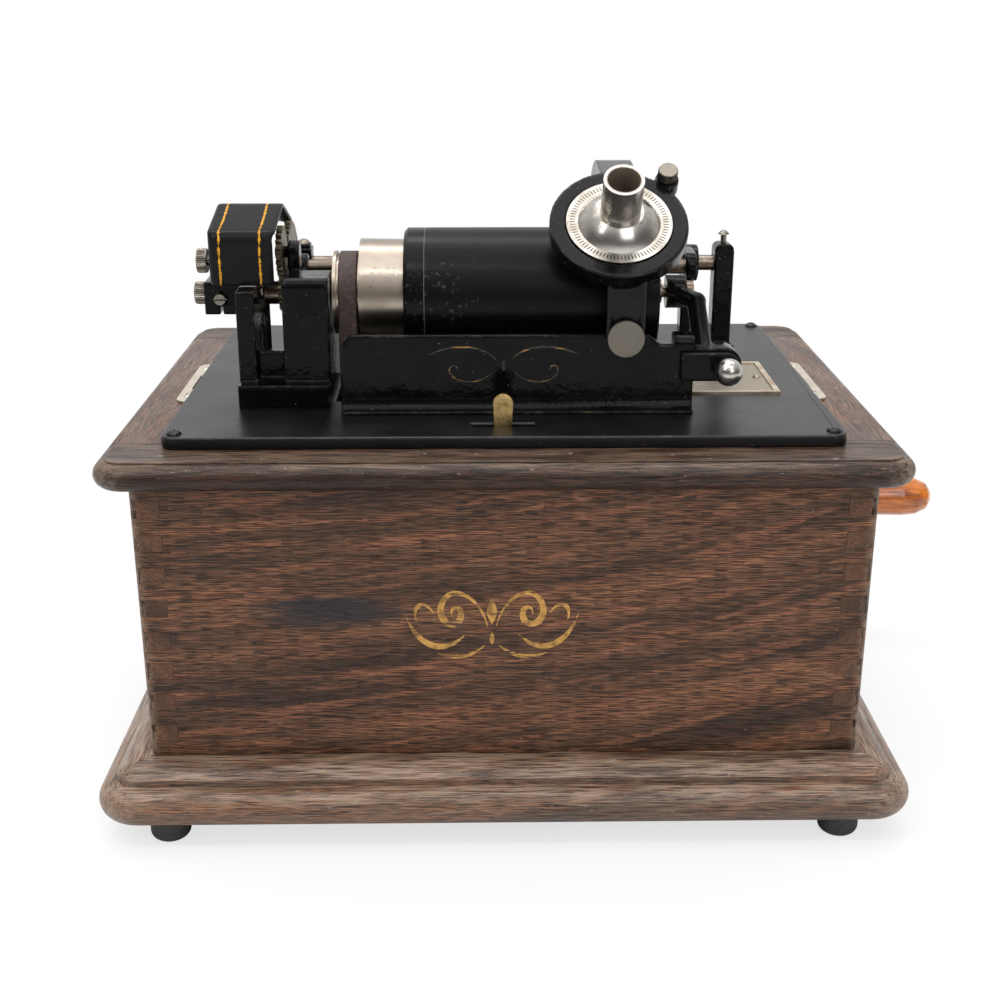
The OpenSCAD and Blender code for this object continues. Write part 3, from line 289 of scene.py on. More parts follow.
def ease_edges(width, *names):
    """Rounds the sharp edges of CAD nodes, as casting, handling and paint do."""
    for name in names:
        piece = welded(name)
        flat = piece.modifiers.new("flat", "DECIMATE")
        flat.decimate_type = "DISSOLVE"
        flat.angle_limit = math.radians(0.5)
        edge = piece.modifiers.new("eased", "BEVEL")
        edge.width = width
        edge.segments = 2
        edge.limit_method = "ANGLE"
        edge.angle_limit = math.radians(35)
        edge.use_clamp_overlap = True


base_low, base_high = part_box("base_front")
half_base = (base_high[0], -base_low[1])
rim_low, rim_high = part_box("rim_front")
half_rim = (rim_high[0], -rim_low[1])
board_low, board_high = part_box("front_board")
half_body = (board_high[0], -board_low[1])
base_look = dict(dry_sheen_reach=22 * MM, figure=0.2, faded=0.22, dust_and_sheen_level=0.75, tone=WHITE, gloss=0.5)
board_look = dict(dry_sheen_reach=5 * MM, figure=0.5, faded=0.05, dust_and_sheen_level=0.3, tone="f6f4f2", gloss=0.25)
front_look = dict(board_look, figure=0.62, tone="f4f2f0", stained=True)
rim_long_look = dict(dry_sheen_reach=18 * MM, figure=0.2, faded=0.0, dust_and_sheen_level=0.26, tone="9c9c9a", gloss=0.3)
rim_short_look = dict(rim_long_look, faded=0.05, dust_and_sheen_level=0.14, tone="f0e8e2", gloss=0.35)
for finish, grain, half_size, look, names in (
    ("oak_base_long", "X", half_base, base_look, ("base_front", "base_back")),
    ("oak_base_short", "Y", half_base, base_look, ("base_left", "base_right")),
    ("oak_front", "X", half_body, front_look, ("front_board",)),
    ("oak_back", "X", half_body, board_look, ("back_board",)),
    ("oak_sides", "Y", half_body, board_look, ("left_board", "right_board")),
    ("oak_rim_long", "X", half_rim, rim_long_look, ("rim_front", "rim_back")),
    ("oak_rim_short", "Y", half_rim, rim_short_look, ("rim_left", "rim_right")),
):
    dress(oak(finish, grain, half_size, **look), *names)
    ease_edges(EASED_EDGE, *names)

# The board that closes the case below, and the four feet screwed under the moulding.
# The board is planed pine, left raw. The feet are turned and covered with black rubber.
PINE_PALE = "b08a5a"
PINE_DARK = "8a6238"
PINE_RINGS = (200 * MM, 4 * MM, 10 * MM)
RUBBER = "1d1e1e"
RUBBER_GRIT = 1.5 * MM
GRIT_PALE = "3a3a39"


def raw_pine(name):
    """Unfinished pine with its growth rings."""
    material, tree = new_finish(name)
    rings = noise(tree, spot(tree, PINE_RINGS), 3.0, 0.6)
    show(tree, "Base Color", tints(tree, rings, (0.35, PINE_DARK), (0.65, PINE_PALE)))
    show(tree, "Roughness", 0.75)
    show(tree, "Normal", bump(tree, rings, depth=0.1 * MM))
    return material


def dull_black(name, code, roughness, grit):
    """A matt black with a fine grit."""
    material, tree = new_finish(name)
    cloud = noise(tree, spot(tree, grit), 3.0, 0.7)
    show(tree, "Base Color", tints(tree, cloud, (0.3, code), (0.8, GRIT_PALE)))
    show(tree, "Roughness", roughness)
    show(tree, "Normal", bump(tree, cloud, depth=0.1 * MM))
    return material


dress(raw_pine("raw_pine"), "bottom_board")
dress(dull_black("foot_rubber", RUBBER, roughness=0.6, grit=RUBBER_GRIT), "feet")

# A gold flourish on the front board: two mirrored scrolls with a lozenge between them.
# It is a transfer in bronze powder, laid on the oak and rubbed through to the grain.
GOLD = "bf9148"
GOLD_DARK = "8c6733"
SCROLL_MIDDLE = Vector((-5.5 * MM, board_low[1], 95.5 * MM))
SCROLL_HALF = 36 * MM
SCROLL_PROUD = 0.06 * MM
PEN_STEPS = 14
GOLD_FIBRE_STEP = (9 * MM, 0.7 * MM)
GOLD_DEPTH = 0.2 * MM


def pen_line(*places):
    """Points of a pen line in X and Z: a start, then (two guides, end) for each sweep."""
    spots = [Vector(p) for p in places]
    points = [spots[0]]
    for k in range(0, len(spots) - 1, 3):
        a, b, c, d = spots[k:k + 4]
        for i in range(1, PEN_STEPS + 1):
            t = i / PEN_STEPS
            u = 1 - t
            points.append(a * u ** 3 + b * 3 * u * u * t + c * 3 * u * t * t + d * t ** 3)
    return points


def ribbon(points, thin, thick):
    """Outline of a pen stroke, swelling in the middle: (left points, right points)."""
    left, right = [], []
    for i, point in enumerate(points):
        ahead = points[min(i + 1, len(points) - 1)] - points[max(i - 1, 0)]
        side = Vector((-ahead.y, ahead.x)).normalized()
        half = (thin + (thick - thin) * math.sin(math.pi * i / (len(points) - 1))) / 2
        left.append(point + side * half)
        right.append(point - side * half)
    return left, right


def finished_piece(name, mesh):
    """Puts a mesh in the scene, with its faces turned outwards."""
    work = bmesh.new()
    work.from_mesh(mesh)
    bmesh.ops.recalc_face_normals(work, faces=work.faces)
    work.to_mesh(mesh)
    work.free()
    piece = bpy.data.objects.new(name, mesh)
    bpy.context.scene.collection.objects.link(piece)
    return piece


def laid_strokes(name, strokes, middle, proud):
    """Thin closed strokes laid on a face that looks to the front."""
    corners, faces = [], []
    for left, right in strokes:
        base = len(corners)
        count = len(left)
        for depth in (-proud, proud):
            for point in left + right:
                corners.append(middle + Vector((point.x, depth, point.y)))
        layer = 2 * count
        for i in range(count - 1):
            a, b, c, d = base + i, base + i + 1, base + count + i + 1, base + count + i
            faces.append((a, b, c, d))
            faces.append((d + layer, c + layer, b + layer, a + layer))
            faces.append((b, a, a + layer, b + layer))
            faces.append((d, c, c + layer, d + layer))
        first, last = base, base + count - 1
        faces.append((first, first + count, first + count + layer, first + layer))
        faces.append((last + count, last, last + layer, last + count + layer))
    mesh = bpy.data.meshes.new(name)
    mesh.from_pydata(corners, [], faces)
    return finished_piece(name, mesh)


def mirrored_strokes(half, lines, lozenges):
    """Pen lines on the right and their mirror images, with upright lozenges between them."""
    strokes = []
    for points, thin, thick in lines:
        for side in (1, -1):
            drawn = [Vector((side * p.x, p.y)) * half for p in points]
            strokes.append(ribbon(drawn, thin * half, thick * half))
    for height, reach in lozenges:
        upright = [Vector((0, height + reach * (i / 5 - 1))) * half for i in range(11)]
        strokes.append(ribbon(upright, 0.002 * half, 0.7 * reach * half))
    return strokes


def rubbed_gold(name, below, grain, kept_from, kept_to):
    """Gold powder rubbed through along the grain to what lies below it."""
    material, tree = new_finish(name)
    under, height = below(tree)
    cloud = noise(tree, spot(tree, 4 * MM), 2.0)
    gold = tints(tree, cloud, (0.35, GOLD_DARK), (0.55, GOLD))
    fibres = noise(tree, spot(tree, grain_size(grain, *GOLD_FIBRE_STEP)), 2.0)
    patch = noise(tree, spot(tree, 11 * MM, (0.3, 0, 2.2)), 2.0)
    sound = calc(tree, "ADD", fibres, calc(tree, "MULTIPLY", patch, 0.7))
    kept = rise(tree, sound, kept_from, kept_to)
    show(tree, "Base Color", mix(tree, kept, under, gold))
    show(tree, "Metallic", calc(tree, "MULTIPLY", kept, 0.35))
    show(tree, "Roughness", 0.45)
    show(tree, "Normal", bump(tree, height, GOLD_DEPTH))
    return material


def front_oak(tree):
    """The oak of the front board under the gold as (colour, height)."""
    return oak_pattern(tree, "X", front_look["figure"])


scroll_lines = [
    (pen_line((0.05, -0.04), (0.14, 0.36), (0.5, 0.52), (0.58, 0.2),
              (0.62, -0.02), (0.36, -0.1), (0.35, 0.1), (0.34, 0.22), (0.48, 0.22), (0.46, 0.1)),
     0.012, 0.08),
    (pen_line((0.3, -0.14), (0.52, -0.4), (0.84, -0.34), (0.98, 0.1)), 0.008, 0.075),
    (pen_line((0.66, 0.12), (0.76, 0.3), (0.92, 0.24), (0.86, 0.02)), 0.008, 0.05),
    (pen_line((0.08, -0.28), (0.24, -0.44), (0.44, -0.46), (0.62, -0.38)), 0.008, 0.05),
]
scroll_strokes = mirrored_strokes(SCROLL_HALF, scroll_lines, [(0.14, 0.16), (-0.2, 0.08)])
scroll = laid_strokes("front_scroll", scroll_strokes, SCROLL_MIDDLE, SCROLL_PROUD)
scroll_gold = rubbed_gold("scroll_gold", front_oak, "X", kept_from=0.71, kept_to=0.8)
scroll.data.materials.append(scroll_gold)
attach(scroll, "case")

# The bedplate and the ironwork that stands on it: gear standard, straight edge,
# gate bracket, bearings and rear posts, with the carriage and the end gate. All are grey
# iron castings, filed and black japanned, with the paint worn to brown at the edges.
JAPAN = "050506"
JAPAN_GREY = "0e0f11"
JAPAN_EDGE = "6a5846"
JAPAN_GRIT = "77736d"
CASTING_STEP = 0.5 * MM
CRISP_PASSES = 5
SOFT_PASSES = 10
WORN_PASSES = 16
FILED_EDGE = 0.6 * MM


def soft_corner(tree, reach):
    """The normal of a piece whose edges are rounded by paint."""
    return put(tree, "Bevel", {"Radius": reach}, samples=6).outputs[0]


def edge_wear(tree, rounded):
    """0 on flat faces and up to 1 along sharp edges."""
    true = put(tree, "NewGeometry").outputs["True Normal"]
    same = put(tree, "VectorMath", {0: rounded, 1: true}, operation="DOT_PRODUCT").outputs["Value"]
    return rise(tree, calc(tree, "SUBTRACT", 1.0, same), 0.03, 0.18)


def japan_coat(tree, reach, relief, gloss):
    """Black japan as (colour, roughness, normal)."""
    rounded = soft_corner(tree, reach)
    cloud = noise(tree, spot(tree, 20 * MM), 3.0)
    paint = tints(tree, cloud, (0.3, JAPAN), (0.8, JAPAN_GREY))
    grit = noise(tree, spot(tree, 1.1 * MM), 1.0)
    caught = calc(tree, "MULTIPLY", rise(tree, grit, 0.75, 0.8), 0.6)
    paint = mix(tree, caught, paint, colour(JAPAN_GRIT))
    rubbed = noise(tree, spot(tree, 5 * MM), 3.0, 0.7)
    bare = calc(tree, "MULTIPLY", edge_wear(tree, rounded), rise(tree, rubbed, 0.46, 0.68))
    paint = mix(tree, bare, paint, colour(JAPAN_EDGE))
    rough = calc(tree, "MULTIPLY_ADD", cloud, 0.14, gloss)
    cast = noise(tree, spot(tree, 6 * MM), 3.0, 0.55)
    return paint, rough, bump(tree, cast, relief, rounded)


def japan(name, reach, relief, gloss, shine):
    """Baked black japan over cast iron."""
    material, tree = new_finish(name)
    paint, rough, normal = japan_coat(tree, reach, relief, gloss)
    show(tree, "Base Color", paint)
    show(tree, "Roughness", rough)
    show(tree, "Normal", normal)
    show(tree, "Specular IOR Level", shine)
    return material


def round_casting(step, passes, *names):
    """Rounds every edge and inner corner of CAD nodes, as a sand mould does."""
    for name in names:
        piece = welded(name)
        skin = piece.modifiers.new("skin", "REMESH")
        skin.mode = "VOXEL"
        skin.voxel_size = step
        skin.use_smooth_shade = True
        worn = piece.modifiers.new("worn", "SMOOTH")
        worn.factor = 0.5
        worn.iterations = passes


cast_japan = japan("cast_japan", reach=1.7 * MM, relief=0.3 * MM, gloss=0.06, shine=0.1)
plate_japan = japan("plate_japan", reach=1.4 * MM, relief=0.1 * MM, gloss=0.27, shine=0.4)
carriage_japan = japan("carriage_japan", reach=1.4 * MM, relief=0.12 * MM, gloss=0.1, shine=0.18)
dress(cast_japan, "gear_standard", "straight_edge", "gate_bracket", "rear_post_right",
      "rear_post_left", "feed_bearing", "end_gate")
dress(plate_japan, "bedplate", "bedplate_screws")
dress(carriage_japan, "carriage_sleeve", "carriage_arm")
round_casting(CASTING_STEP, SOFT_PASSES, "gear_standard", "rear_post_right", "rear_post_left")
round_casting(CASTING_STEP, CRISP_PASSES, "straight_edge", "feed_bearing", "carriage_arm")
round_casting(CASTING_STEP, WORN_PASSES, "carriage_sleeve")
ease_edges(FILED_EDGE, "bedplate", "gate_bracket", "end_gate")

# Faint gold swashes on the face of the straight edge, mirrored about a small lozenge.
# They are painted by hand on the japan and have nearly gone.
EDGE_MIDDLE = Vector((0.0, -64 * MM, 192.5 * MM))
EDGE_HALF = 32 * MM


def bare_japan(tree):
    """The japan under a painted line as (colour, height)."""
    paint = japan_coat(tree, reach=0.5 * MM, relief=0.1 * MM, gloss=0.1)[0]
    return paint, noise(tree, spot(tree, 5 * MM))


edge_lines = [
    (pen_line((0.1, 0.08), (0.3, 0.3), (0.7, 0.28), (0.98, 0.14)), 0.008, 0.024),
    (pen_line((0.16, -0.1), (0.3, -0.26), (0.62, -0.26), (0.7, -0.1),
              (0.74, 0.0), (0.6, 0.04), (0.6, -0.06)), 0.008, 0.022),
]
edge_strokes = mirrored_strokes(EDGE_HALF, edge_lines, [(0.0, 0.07)])
edge_gold = laid_strokes("edge_gold", edge_strokes, EDGE_MIDDLE, SCROLL_PROUD)
faint_gold = rubbed_gold("faint_gold", bare_japan, "X", kept_from=0.82, kept_to=1.15)
edge_gold.data.materials.append(faint_gold)
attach(edge_gold, "case")

# Plated and bright pieces: catch plates, screws, pivot, mandrel, pulley, reproducer plate
# with its engraved border, neck, stylus weight, lift lever and gate knob. Turned brass or
# steel, nickel plated and now warm and a little stained.
NICKEL = "a1968a"
CATCH_NICKEL = "d6cdbd"
LEVER_NICKEL = "746f66"
NICKEL_PALE = "bbb7b1"
SCREW_NICKEL = "7f7a72"
NICKEL_STAIN = "857a68"
NICKEL_PIT = "544c40"
NECK_SOOT = "857a6b"
NECK_BORE = 7 * MM
TOOL_MARKS = (0.6 * MM, 200 * MM, 200 * MM)
FINE_EDGE = 0.25 * MM
TICKS = 84
TICKS_FROM = 0.83
TICKS_TO = 0.93
horn_neck = next(m for m in frame["record"]["mounts"] if m["name"] == "horn_neck")
neck_axis = Vector(horn_neck["axis"])


def nickel(name, stain, gloss, bright, turned=None):
    """Old nickel plate, with fine tool marks across X where it is turned."""
    material, tree = new_finish(name)
    cloud = noise(tree, spot(tree, 12 * MM), 4.0, 0.65)
    fine = noise(tree, spot(tree, 1.6 * MM), 2.0)
    spoiled = calc(tree, "MULTIPLY", rise(tree, cloud, 0.45, 0.72), stain)
    plate = mix(tree, spoiled, colour(bright), colour(NICKEL_STAIN))
    pits = calc(tree, "MULTIPLY", rise(tree, fine, 0.64, 0.75), stain)
    show(tree, "Base Color", mix(tree, pits, plate, colour(NICKEL_PIT)))
    show(tree, "Metallic", 1.0)
    show(tree, "Roughness", calc(tree, "MULTIPLY_ADD", cloud, 0.2, gloss))
    marks = noise(tree, spot(tree, turned), 2.0) if turned else fine
    show(tree, "Normal", bump(tree, marks, depth=0.02 * MM))
    return material


def shown_colour(tree):
    """The socket that gives the shader its colour so far."""
    return tree.nodes["Principled BSDF"].inputs["Base Color"].links[0].from_socket


def from_neck(tree):
    """A place as an offset from the end of the neck, and its distance from the neck's axis."""
    here = put(tree, "TexCoord").outputs["Object"]
    offset = put(tree, "VectorMath", {0: here, 1: horn_neck["pos_m"]}, operation="SUBTRACT").outputs[0]
    swung = put(tree, "VectorMath", {0: offset, 1: neck_axis}, operation="CROSS_PRODUCT").outputs[0]
    return offset, put(tree, "VectorMath", {0: swung}, operation="LENGTH").outputs["Value"]


def bordered_nickel(name):
    """Nickel with a border of engraved ticks near its edge."""
    material = nickel(name, stain=0.6, gloss=0.14, bright=NICKEL_PALE)
    tree = material.node_tree
    low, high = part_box("reproducer_plate")
    reach = (high[0] - low[0]) / 2
    offset, radius = from_neck(tree)
    level = neck_axis.orthogonal().normalized()
    sides = [put(tree, "VectorMath", {0: offset, 1: way}, operation="DOT_PRODUCT").outputs["Value"]
             for way in (level, neck_axis.cross(level))]
    turn = calc(tree, "MULTIPLY", calc(tree, "ARCTAN2", *sides), TICKS)
    ticks = rise(tree, calc(tree, "SINE", turn), 0.0, 0.5)
    outside = calc(tree, "GREATER_THAN", radius, TICKS_FROM * reach)
    inside = calc(tree, "LESS_THAN", radius, TICKS_TO * reach)
    cut = calc(tree, "MULTIPLY", ticks, calc(tree, "MULTIPLY", outside, inside))
    filled = calc(tree, "MULTIPLY", cut, 0.8)
    bright = shown_colour(tree)
    show(tree, "Base Color", mix(tree, filled, bright, colour(NICKEL_PIT)))
    return material


def neck_nickel(name):
    """Nickel outside, dark with soot and old grease inside the bore."""
    material = nickel(name, stain=0.6, gloss=0.16, bright=NICKEL_PALE)
    tree = material.node_tree
    bore = calc(tree, "LESS_THAN", from_neck(tree)[1], NECK_BORE)
    bright = shown_colour(tree)
    show(tree, "Base Color", mix(tree, bore, bright, colour(NECK_SOOT)))
    show(tree, "Metallic", calc(tree, "SUBTRACT", 1.0, calc(tree, "MULTIPLY", bore, 0.8)))
    return material


plate_nickel = nickel("plate_nickel", stain=0.35, gloss=0.3, bright=CATCH_NICKEL)
mandrel_nickel = nickel("mandrel_nickel", stain=0.45, gloss=0.2, bright=NICKEL, turned=TOOL_MARKS)
bright_nickel = nickel("bright_nickel", stain=0.6, gloss=0.14, bright=NICKEL_PALE)
screw_nickel = nickel("screw_nickel", stain=0.7, gloss=0.24, bright=SCREW_NICKEL)
dull_nickel = nickel("dull_nickel", stain=0.5, gloss=0.38, bright=LEVER_NICKEL)
dress(plate_nickel, "catch_plates", "catch_screws")
dress(bordered_nickel("bordered_nickel"), "reproducer_plate")
dress(bright_nickel, "gate_knob", "stylus_weight")
dress(screw_nickel, "rod_screws", "pivot_screw", "standard_screws", "thumbscrew")
dress(neck_nickel("neck_nickel"), "reproducer_neck")
dress(dull_nickel, "lift_lever")
dress(mandrel_nickel, "mandrel_drum", "mandrel_pulley")
ease_edges(FINE_EDGE, "catch_plates", "lift_lever", "thumbscrew", "pivot_screw")

# Knurling on the heads of the pivot screw, the cover screw and the thumbscrew.
# Straight ridges rolled into the nickelled steel, as deep as a finger can feel.
RIDGE = 0.55 * MM
RIDGE_APART = 1.35 * RIDGE
# Each head as its radius, its length, and how far its middle is from the screw's end or seat
PIVOT_HEAD = (4.5 * MM, 4 * MM, 2.5 * MM)
COVER_HEAD = (4.9 * MM, 3.4 * MM, 2.1 * MM)
THUMB_HEAD = (3.8 * MM, 4.2 * MM, 2.9 * MM)
PIVOT_Y = -23 * MM
COVER_SCREW_Y = -28 * MM
COVER_SCREW_DOWN = 5 * MM


def knurl_nodes(material):
    """Geometry nodes for a ring of ridges about Z, with named inputs."""
    tree = bpy.data.node_groups.new("knurl", "GeometryNodeTree")
    tree.interface.new_socket("Geometry", in_out="OUTPUT", socket_type="NodeSocketGeometry")
    for label, kind in (("Count", "Int"), ("Radius", "Float"), ("Ridge", "Vector")):
        tree.interface.new_socket(label, in_out="INPUT", socket_type="NodeSocket" + kind)
    given = tree.nodes.new("NodeGroupInput")
    ring = tree.nodes.new("GeometryNodeMeshCircle")
    ridge = tree.nodes.new("GeometryNodeMeshCube")
    diamond = tree.nodes.new("GeometryNodeTransform")
    diamond.inputs["Rotation"].default_value = (0, 0, math.radians(45))
    outward = tree.nodes.new("FunctionNodeAlignRotationToVector")
    outward.axis = "X"
    place = tree.nodes.new("GeometryNodeInputPosition")
    copies = tree.nodes.new("GeometryNodeInstanceOnPoints")
    solid = tree.nodes.new("GeometryNodeRealizeInstances")
    finish = tree.nodes.new("GeometryNodeSetMaterial")
    finish.inputs["Material"].default_value = material
    result = tree.nodes.new("NodeGroupOutput")
    for start, end in (
        (given.outputs["Count"], ring.inputs["Vertices"]),
        (given.outputs["Radius"], ring.inputs["Radius"]),
        (given.outputs["Ridge"], ridge.inputs["Size"]),
        (ridge.outputs["Mesh"], diamond.inputs["Geometry"]),
        (place.outputs["Position"], outward.inputs["Vector"]),
        (ring.outputs["Mesh"], copies.inputs["Points"]),
        (diamond.outputs["Geometry"], copies.inputs["Instance"]),
        (outward.outputs["Rotation"], copies.inputs["Rotation"]),
        (copies.outputs["Instances"], solid.inputs["Geometry"]),
        (solid.outputs["Geometry"], finish.inputs["Geometry"]),
        (finish.outputs["Geometry"], result.inputs["Geometry"]),
    ):
        tree.links.new(start, end)
    return tree


def knurled_ring(name, nodes, middle, axis, head, body):
    """A knurled ring about an axis, riding on a body."""
    radius, length = head[:2]
    piece = bpy.data.objects.new(name, bpy.data.meshes.new(name + "_seed"))
    bpy.context.scene.collection.objects.link(piece)
    modifier = piece.modifiers.new("knurl", "NODES")
    modifier.node_group = nodes
    inputs = [s for s in nodes.interface.items_tree if s.in_out == "INPUT"]
    sockets = {s.name: s.identifier for s in inputs}
    modifier[sockets["Count"]] = round(2 * math.pi * radius / RIDGE_APART)
    modifier[sockets["Radius"]] = radius
    modifier[sockets["Ridge"]] = (RIDGE, RIDGE, length)
    seen = piece.evaluated_get(bpy.context.evaluated_depsgraph_get())
    mesh = bpy.data.meshes.new_from_object(seen)
    piece.modifiers.clear()
    turn = axis.to_track_quat("Z", "Y").to_matrix().to_4x4()
    mesh.transform(Matrix.Translation(middle) @ turn)
    piece.data = mesh
    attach(piece, body)


knurl = knurl_nodes(screw_nickel)
across = Vector((1, 0, 0))
pivot_low, pivot_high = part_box("pivot_screw")
pivot_z = (pivot_low[2] + pivot_high[2]) / 2
pivot_middle = Vector((pivot_low[0] + PIVOT_HEAD[2], PIVOT_Y, pivot_z))
knurled_ring("pivot_knurl", knurl, pivot_middle, across, PIVOT_HEAD, "case")
screws_low, screws_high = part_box("standard_screws")
cover_screw_z = screws_high[2] - COVER_SCREW_DOWN
cover_screw = Vector((screws_low[0] + COVER_HEAD[2], COVER_SCREW_Y, cover_screw_z))
knurled_ring("cover_knurl", knurl, cover_screw, across, COVER_HEAD, "case")
thumb = next(j for j in frame["joints"] if j["name"] == "thumb_turn")
thumb_axis = Vector(thumb["axis"])
thumb_middle = Vector(thumb["pos_m"]) + thumb_axis * THUMB_HEAD[2]
knurled_ring("thumb_knurl", knurl, thumb_middle, thumb_axis, THUMB_HEAD, "thumbscrew")

# The name plate, fixed with two screws. Stamped brass, nickelled, with a raised border
# and a dark field of engine-turned waves.
PLATE_FIELD = "7a756b"
PLATE_LINE = "cdbfa8"
PLATE_METAL = "d0c5b2"
PLATE_STAIN = "b39a80"
PLATE_BORDER = 2.5 * MM
PLATE_SHEET = 0.8 * MM
# Waves and their rows, in radians to the metre
WAVE_RATE = 2400.0
WAVE_HEIGHT = 0.6 * MM
ROW_RATE = 2600.0
plaque_low, plaque_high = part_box("name_plate")


def name_plate_metal(name):
    """Bright border, and fine raised waves on a dark field."""
    material, tree = new_finish(name)
    x, y, z = axes(tree)
    wave = calc(tree, "SINE", calc(tree, "MULTIPLY", x, WAVE_RATE))
    waved = calc(tree, "MULTIPLY_ADD", wave, WAVE_HEIGHT, y)
    rows = calc(tree, "SINE", calc(tree, "MULTIPLY", waved, ROW_RATE))
    lines = rise(tree, rows, 0.1, 0.7)
    inside = 1.0
    for place, low, high in ((x, plaque_low[0], plaque_high[0]), (y, plaque_low[1], plaque_high[1])):
        off = calc(tree, "ABSOLUTE", calc(tree, "SUBTRACT", place, (low + high) / 2))
        near = calc(tree, "LESS_THAN", off, (high - low) / 2 - PLATE_BORDER)
        inside = calc(tree, "MULTIPLY", inside, near)
    low_face = calc(tree, "LESS_THAN", z, plaque_low[2] + PLATE_SHEET)
    inside = calc(tree, "MULTIPLY", inside, low_face)
    cloud = noise(tree, spot(tree, 10 * MM), 3.0)
    metal = tints(tree, cloud, (0.35, PLATE_STAIN), (0.6, PLATE_METAL))
    field = mix(tree, lines, colour(PLATE_FIELD), colour(PLATE_LINE))
    show(tree, "Base Color", mix(tree, inside, metal, field))
    show(tree, "Metallic", 1.0)
    show(tree, "Roughness", calc(tree, "MULTIPLY_ADD", cloud, 0.2, 0.3))
    show(tree, "Normal", bump(tree, calc(tree, "MULTIPLY", lines, inside), depth=0.1 * MM))
    return material


dress(name_plate_metal("name_plate_metal"), "name_plate")

# Shafts, rod, feed screw, gate centre, lever pivot, winding crank and motor frame. Drawn and
# rolled steel, left bright and now brown with oil. The feed screw carries a fine thread.
STEEL = "8f8579"
STEEL_BROWN = "54443a"
STEEL_CLOUD = (16 * MM, 6 * MM, 6 * MM)
DRAWN_MARKS = (0.5 * MM, 20 * MM, 20 * MM)
THREAD_PITCH = 0.5 * MM


def oiled_steel(name, pitch=None):
    """Bright steel with brown oil stains, threaded where a pitch is given."""
    material, tree = new_finish(name)
    cloud = noise(tree, spot(tree, STEEL_CLOUD), 4.0, 0.65)
    show(tree, "Base Color", tints(tree, cloud, (0.3, STEEL_BROWN), (0.65, STEEL)))
    show(tree, "Metallic", 1.0)
    show(tree, "Roughness", calc(tree, "MULTIPLY_ADD", cloud, 0.25, 0.18))
    if pitch:
        marks = calc(tree, "SINE", calc(tree, "MULTIPLY", axes(tree)[0], 2 * math.pi / pitch))
    else:
        marks = noise(tree, spot(tree, DRAWN_MARKS), 1.0)
    show(tree, "Normal", bump(tree, marks, depth=0.03 * MM))
    return material


dress(oiled_steel("oiled_steel"), "back_rod", "mandrel_shaft", "gate_centre", "lever_pivot",
      "motor_frame", "winding_crank")
dress(oiled_steel("threaded_steel", THREAD_PITCH), "feed_screw")

# Gears, arbors, barrel, governor and start lever: cast and cut brass, dulled and spotted.
# The reproducer's body, fixed under its plate, is moulded from a black composition.
GEAR_BRASS = "857b66"
GEAR_DARK = "3f3a30"
LEVER_BRASS = "c9ad74"
LEVER_DARK = "7d6843"
BRASS_SPOT = "4a3c26"
COMPOSITION = "141414"
COMPOSITION_GRIT = 1.0 * MM


def dull_brass(name, bright, dark):
    """Brass with dark spots and a dull skin."""
    material, tree = new_finish(name)
    cloud = noise(tree, spot(tree, 6 * MM), 4.0, 0.7)
    fine = noise(tree, spot(tree, 1.2 * MM), 2.0)
    metal = tints(tree, cloud, (0.3, dark), (0.6, bright))
    metal = mix(tree, rise(tree, fine, 0.62, 0.72), metal, colour(BRASS_SPOT))
    show(tree, "Base Color", metal)
    show(tree, "Metallic", 1.0)
    show(tree, "Roughness", calc(tree, "MULTIPLY_ADD", fine, 0.3, 0.28))
    show(tree, "Normal", bump(tree, fine, depth=0.05 * MM))
    return material


gear_brass = dull_brass("gear_brass", GEAR_BRASS, GEAR_DARK)
lever_brass = dull_brass("lever_brass", LEVER_BRASS, LEVER_DARK)
dress(gear_brass, "mandrel_gear", "idler_gear", "feed_gear", "spring_barrel", "middle_arbor",
      "drive_arbor", "governor")
dress(lever_brass, "start_lever")
dress(dull_black("composition", COMPOSITION, roughness=0.5, grit=COMPOSITION_GRIT), "reproducer_body")

# The finger plate of the start lever: a tab of spotted brass with a round top, which stands
# in the slot of the bedplate and is riveted round the upright of the lever.
TAB_HALF = 4.1 * MM
TAB_FOOT_HALF = 3.7 * MM
TAB_THICK = 1.8 * MM
TAB_IN_SLOT = 1.5 * MM
TAB_EDGE = 0.3 * MM
TAB_BEHIND = 0.75 * MM
TAB_STEPS = 24


def finger_plate(name):
    """A plate with a round top and tapered sides, with its edges rounded."""
    low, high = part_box("start_lever")
    middle_x = (low[0] + high[0]) / 2
    middle_y = low[1] + TAB_BEHIND
    round_z = high[2] - TAB_HALF
    foot_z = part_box("bedplate")[1][2] - TAB_IN_SLOT
    outline = [(TAB_FOOT_HALF, foot_z)]
    for i in range(TAB_STEPS + 1):
        angle = math.pi * i / TAB_STEPS
        outline.append((TAB_HALF * math.cos(angle), round_z + TAB_HALF * math.sin(angle)))
    outline.append((-TAB_FOOT_HALF, foot_z))
    work = bmesh.new()
    face = work.faces.new([
        work.verts.new((middle_x + x, middle_y - TAB_THICK / 2, z)) for x, z in outline])
    pushed = bmesh.ops.extrude_face_region(work, geom=[face])["geom"]
    moved = [v for v in pushed if isinstance(v, bmesh.types.BMVert)]
    bmesh.ops.translate(work, verts=moved, vec=(0, TAB_THICK, 0))
    rims = [e for e in work.edges if e.calc_face_angle(0) > math.radians(60)]
    bmesh.ops.bevel(work, geom=rims, offset=TAB_EDGE, segments=2, affect="EDGES", profile=0.5)
    mesh = bpy.data.meshes.new(name)
    work.to_mesh(mesh)
    work.free()
    return finished_piece(name, mesh)


tab = finger_plate("start_tab")
tab.data.materials.append(lever_brass)
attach(tab, "starter")

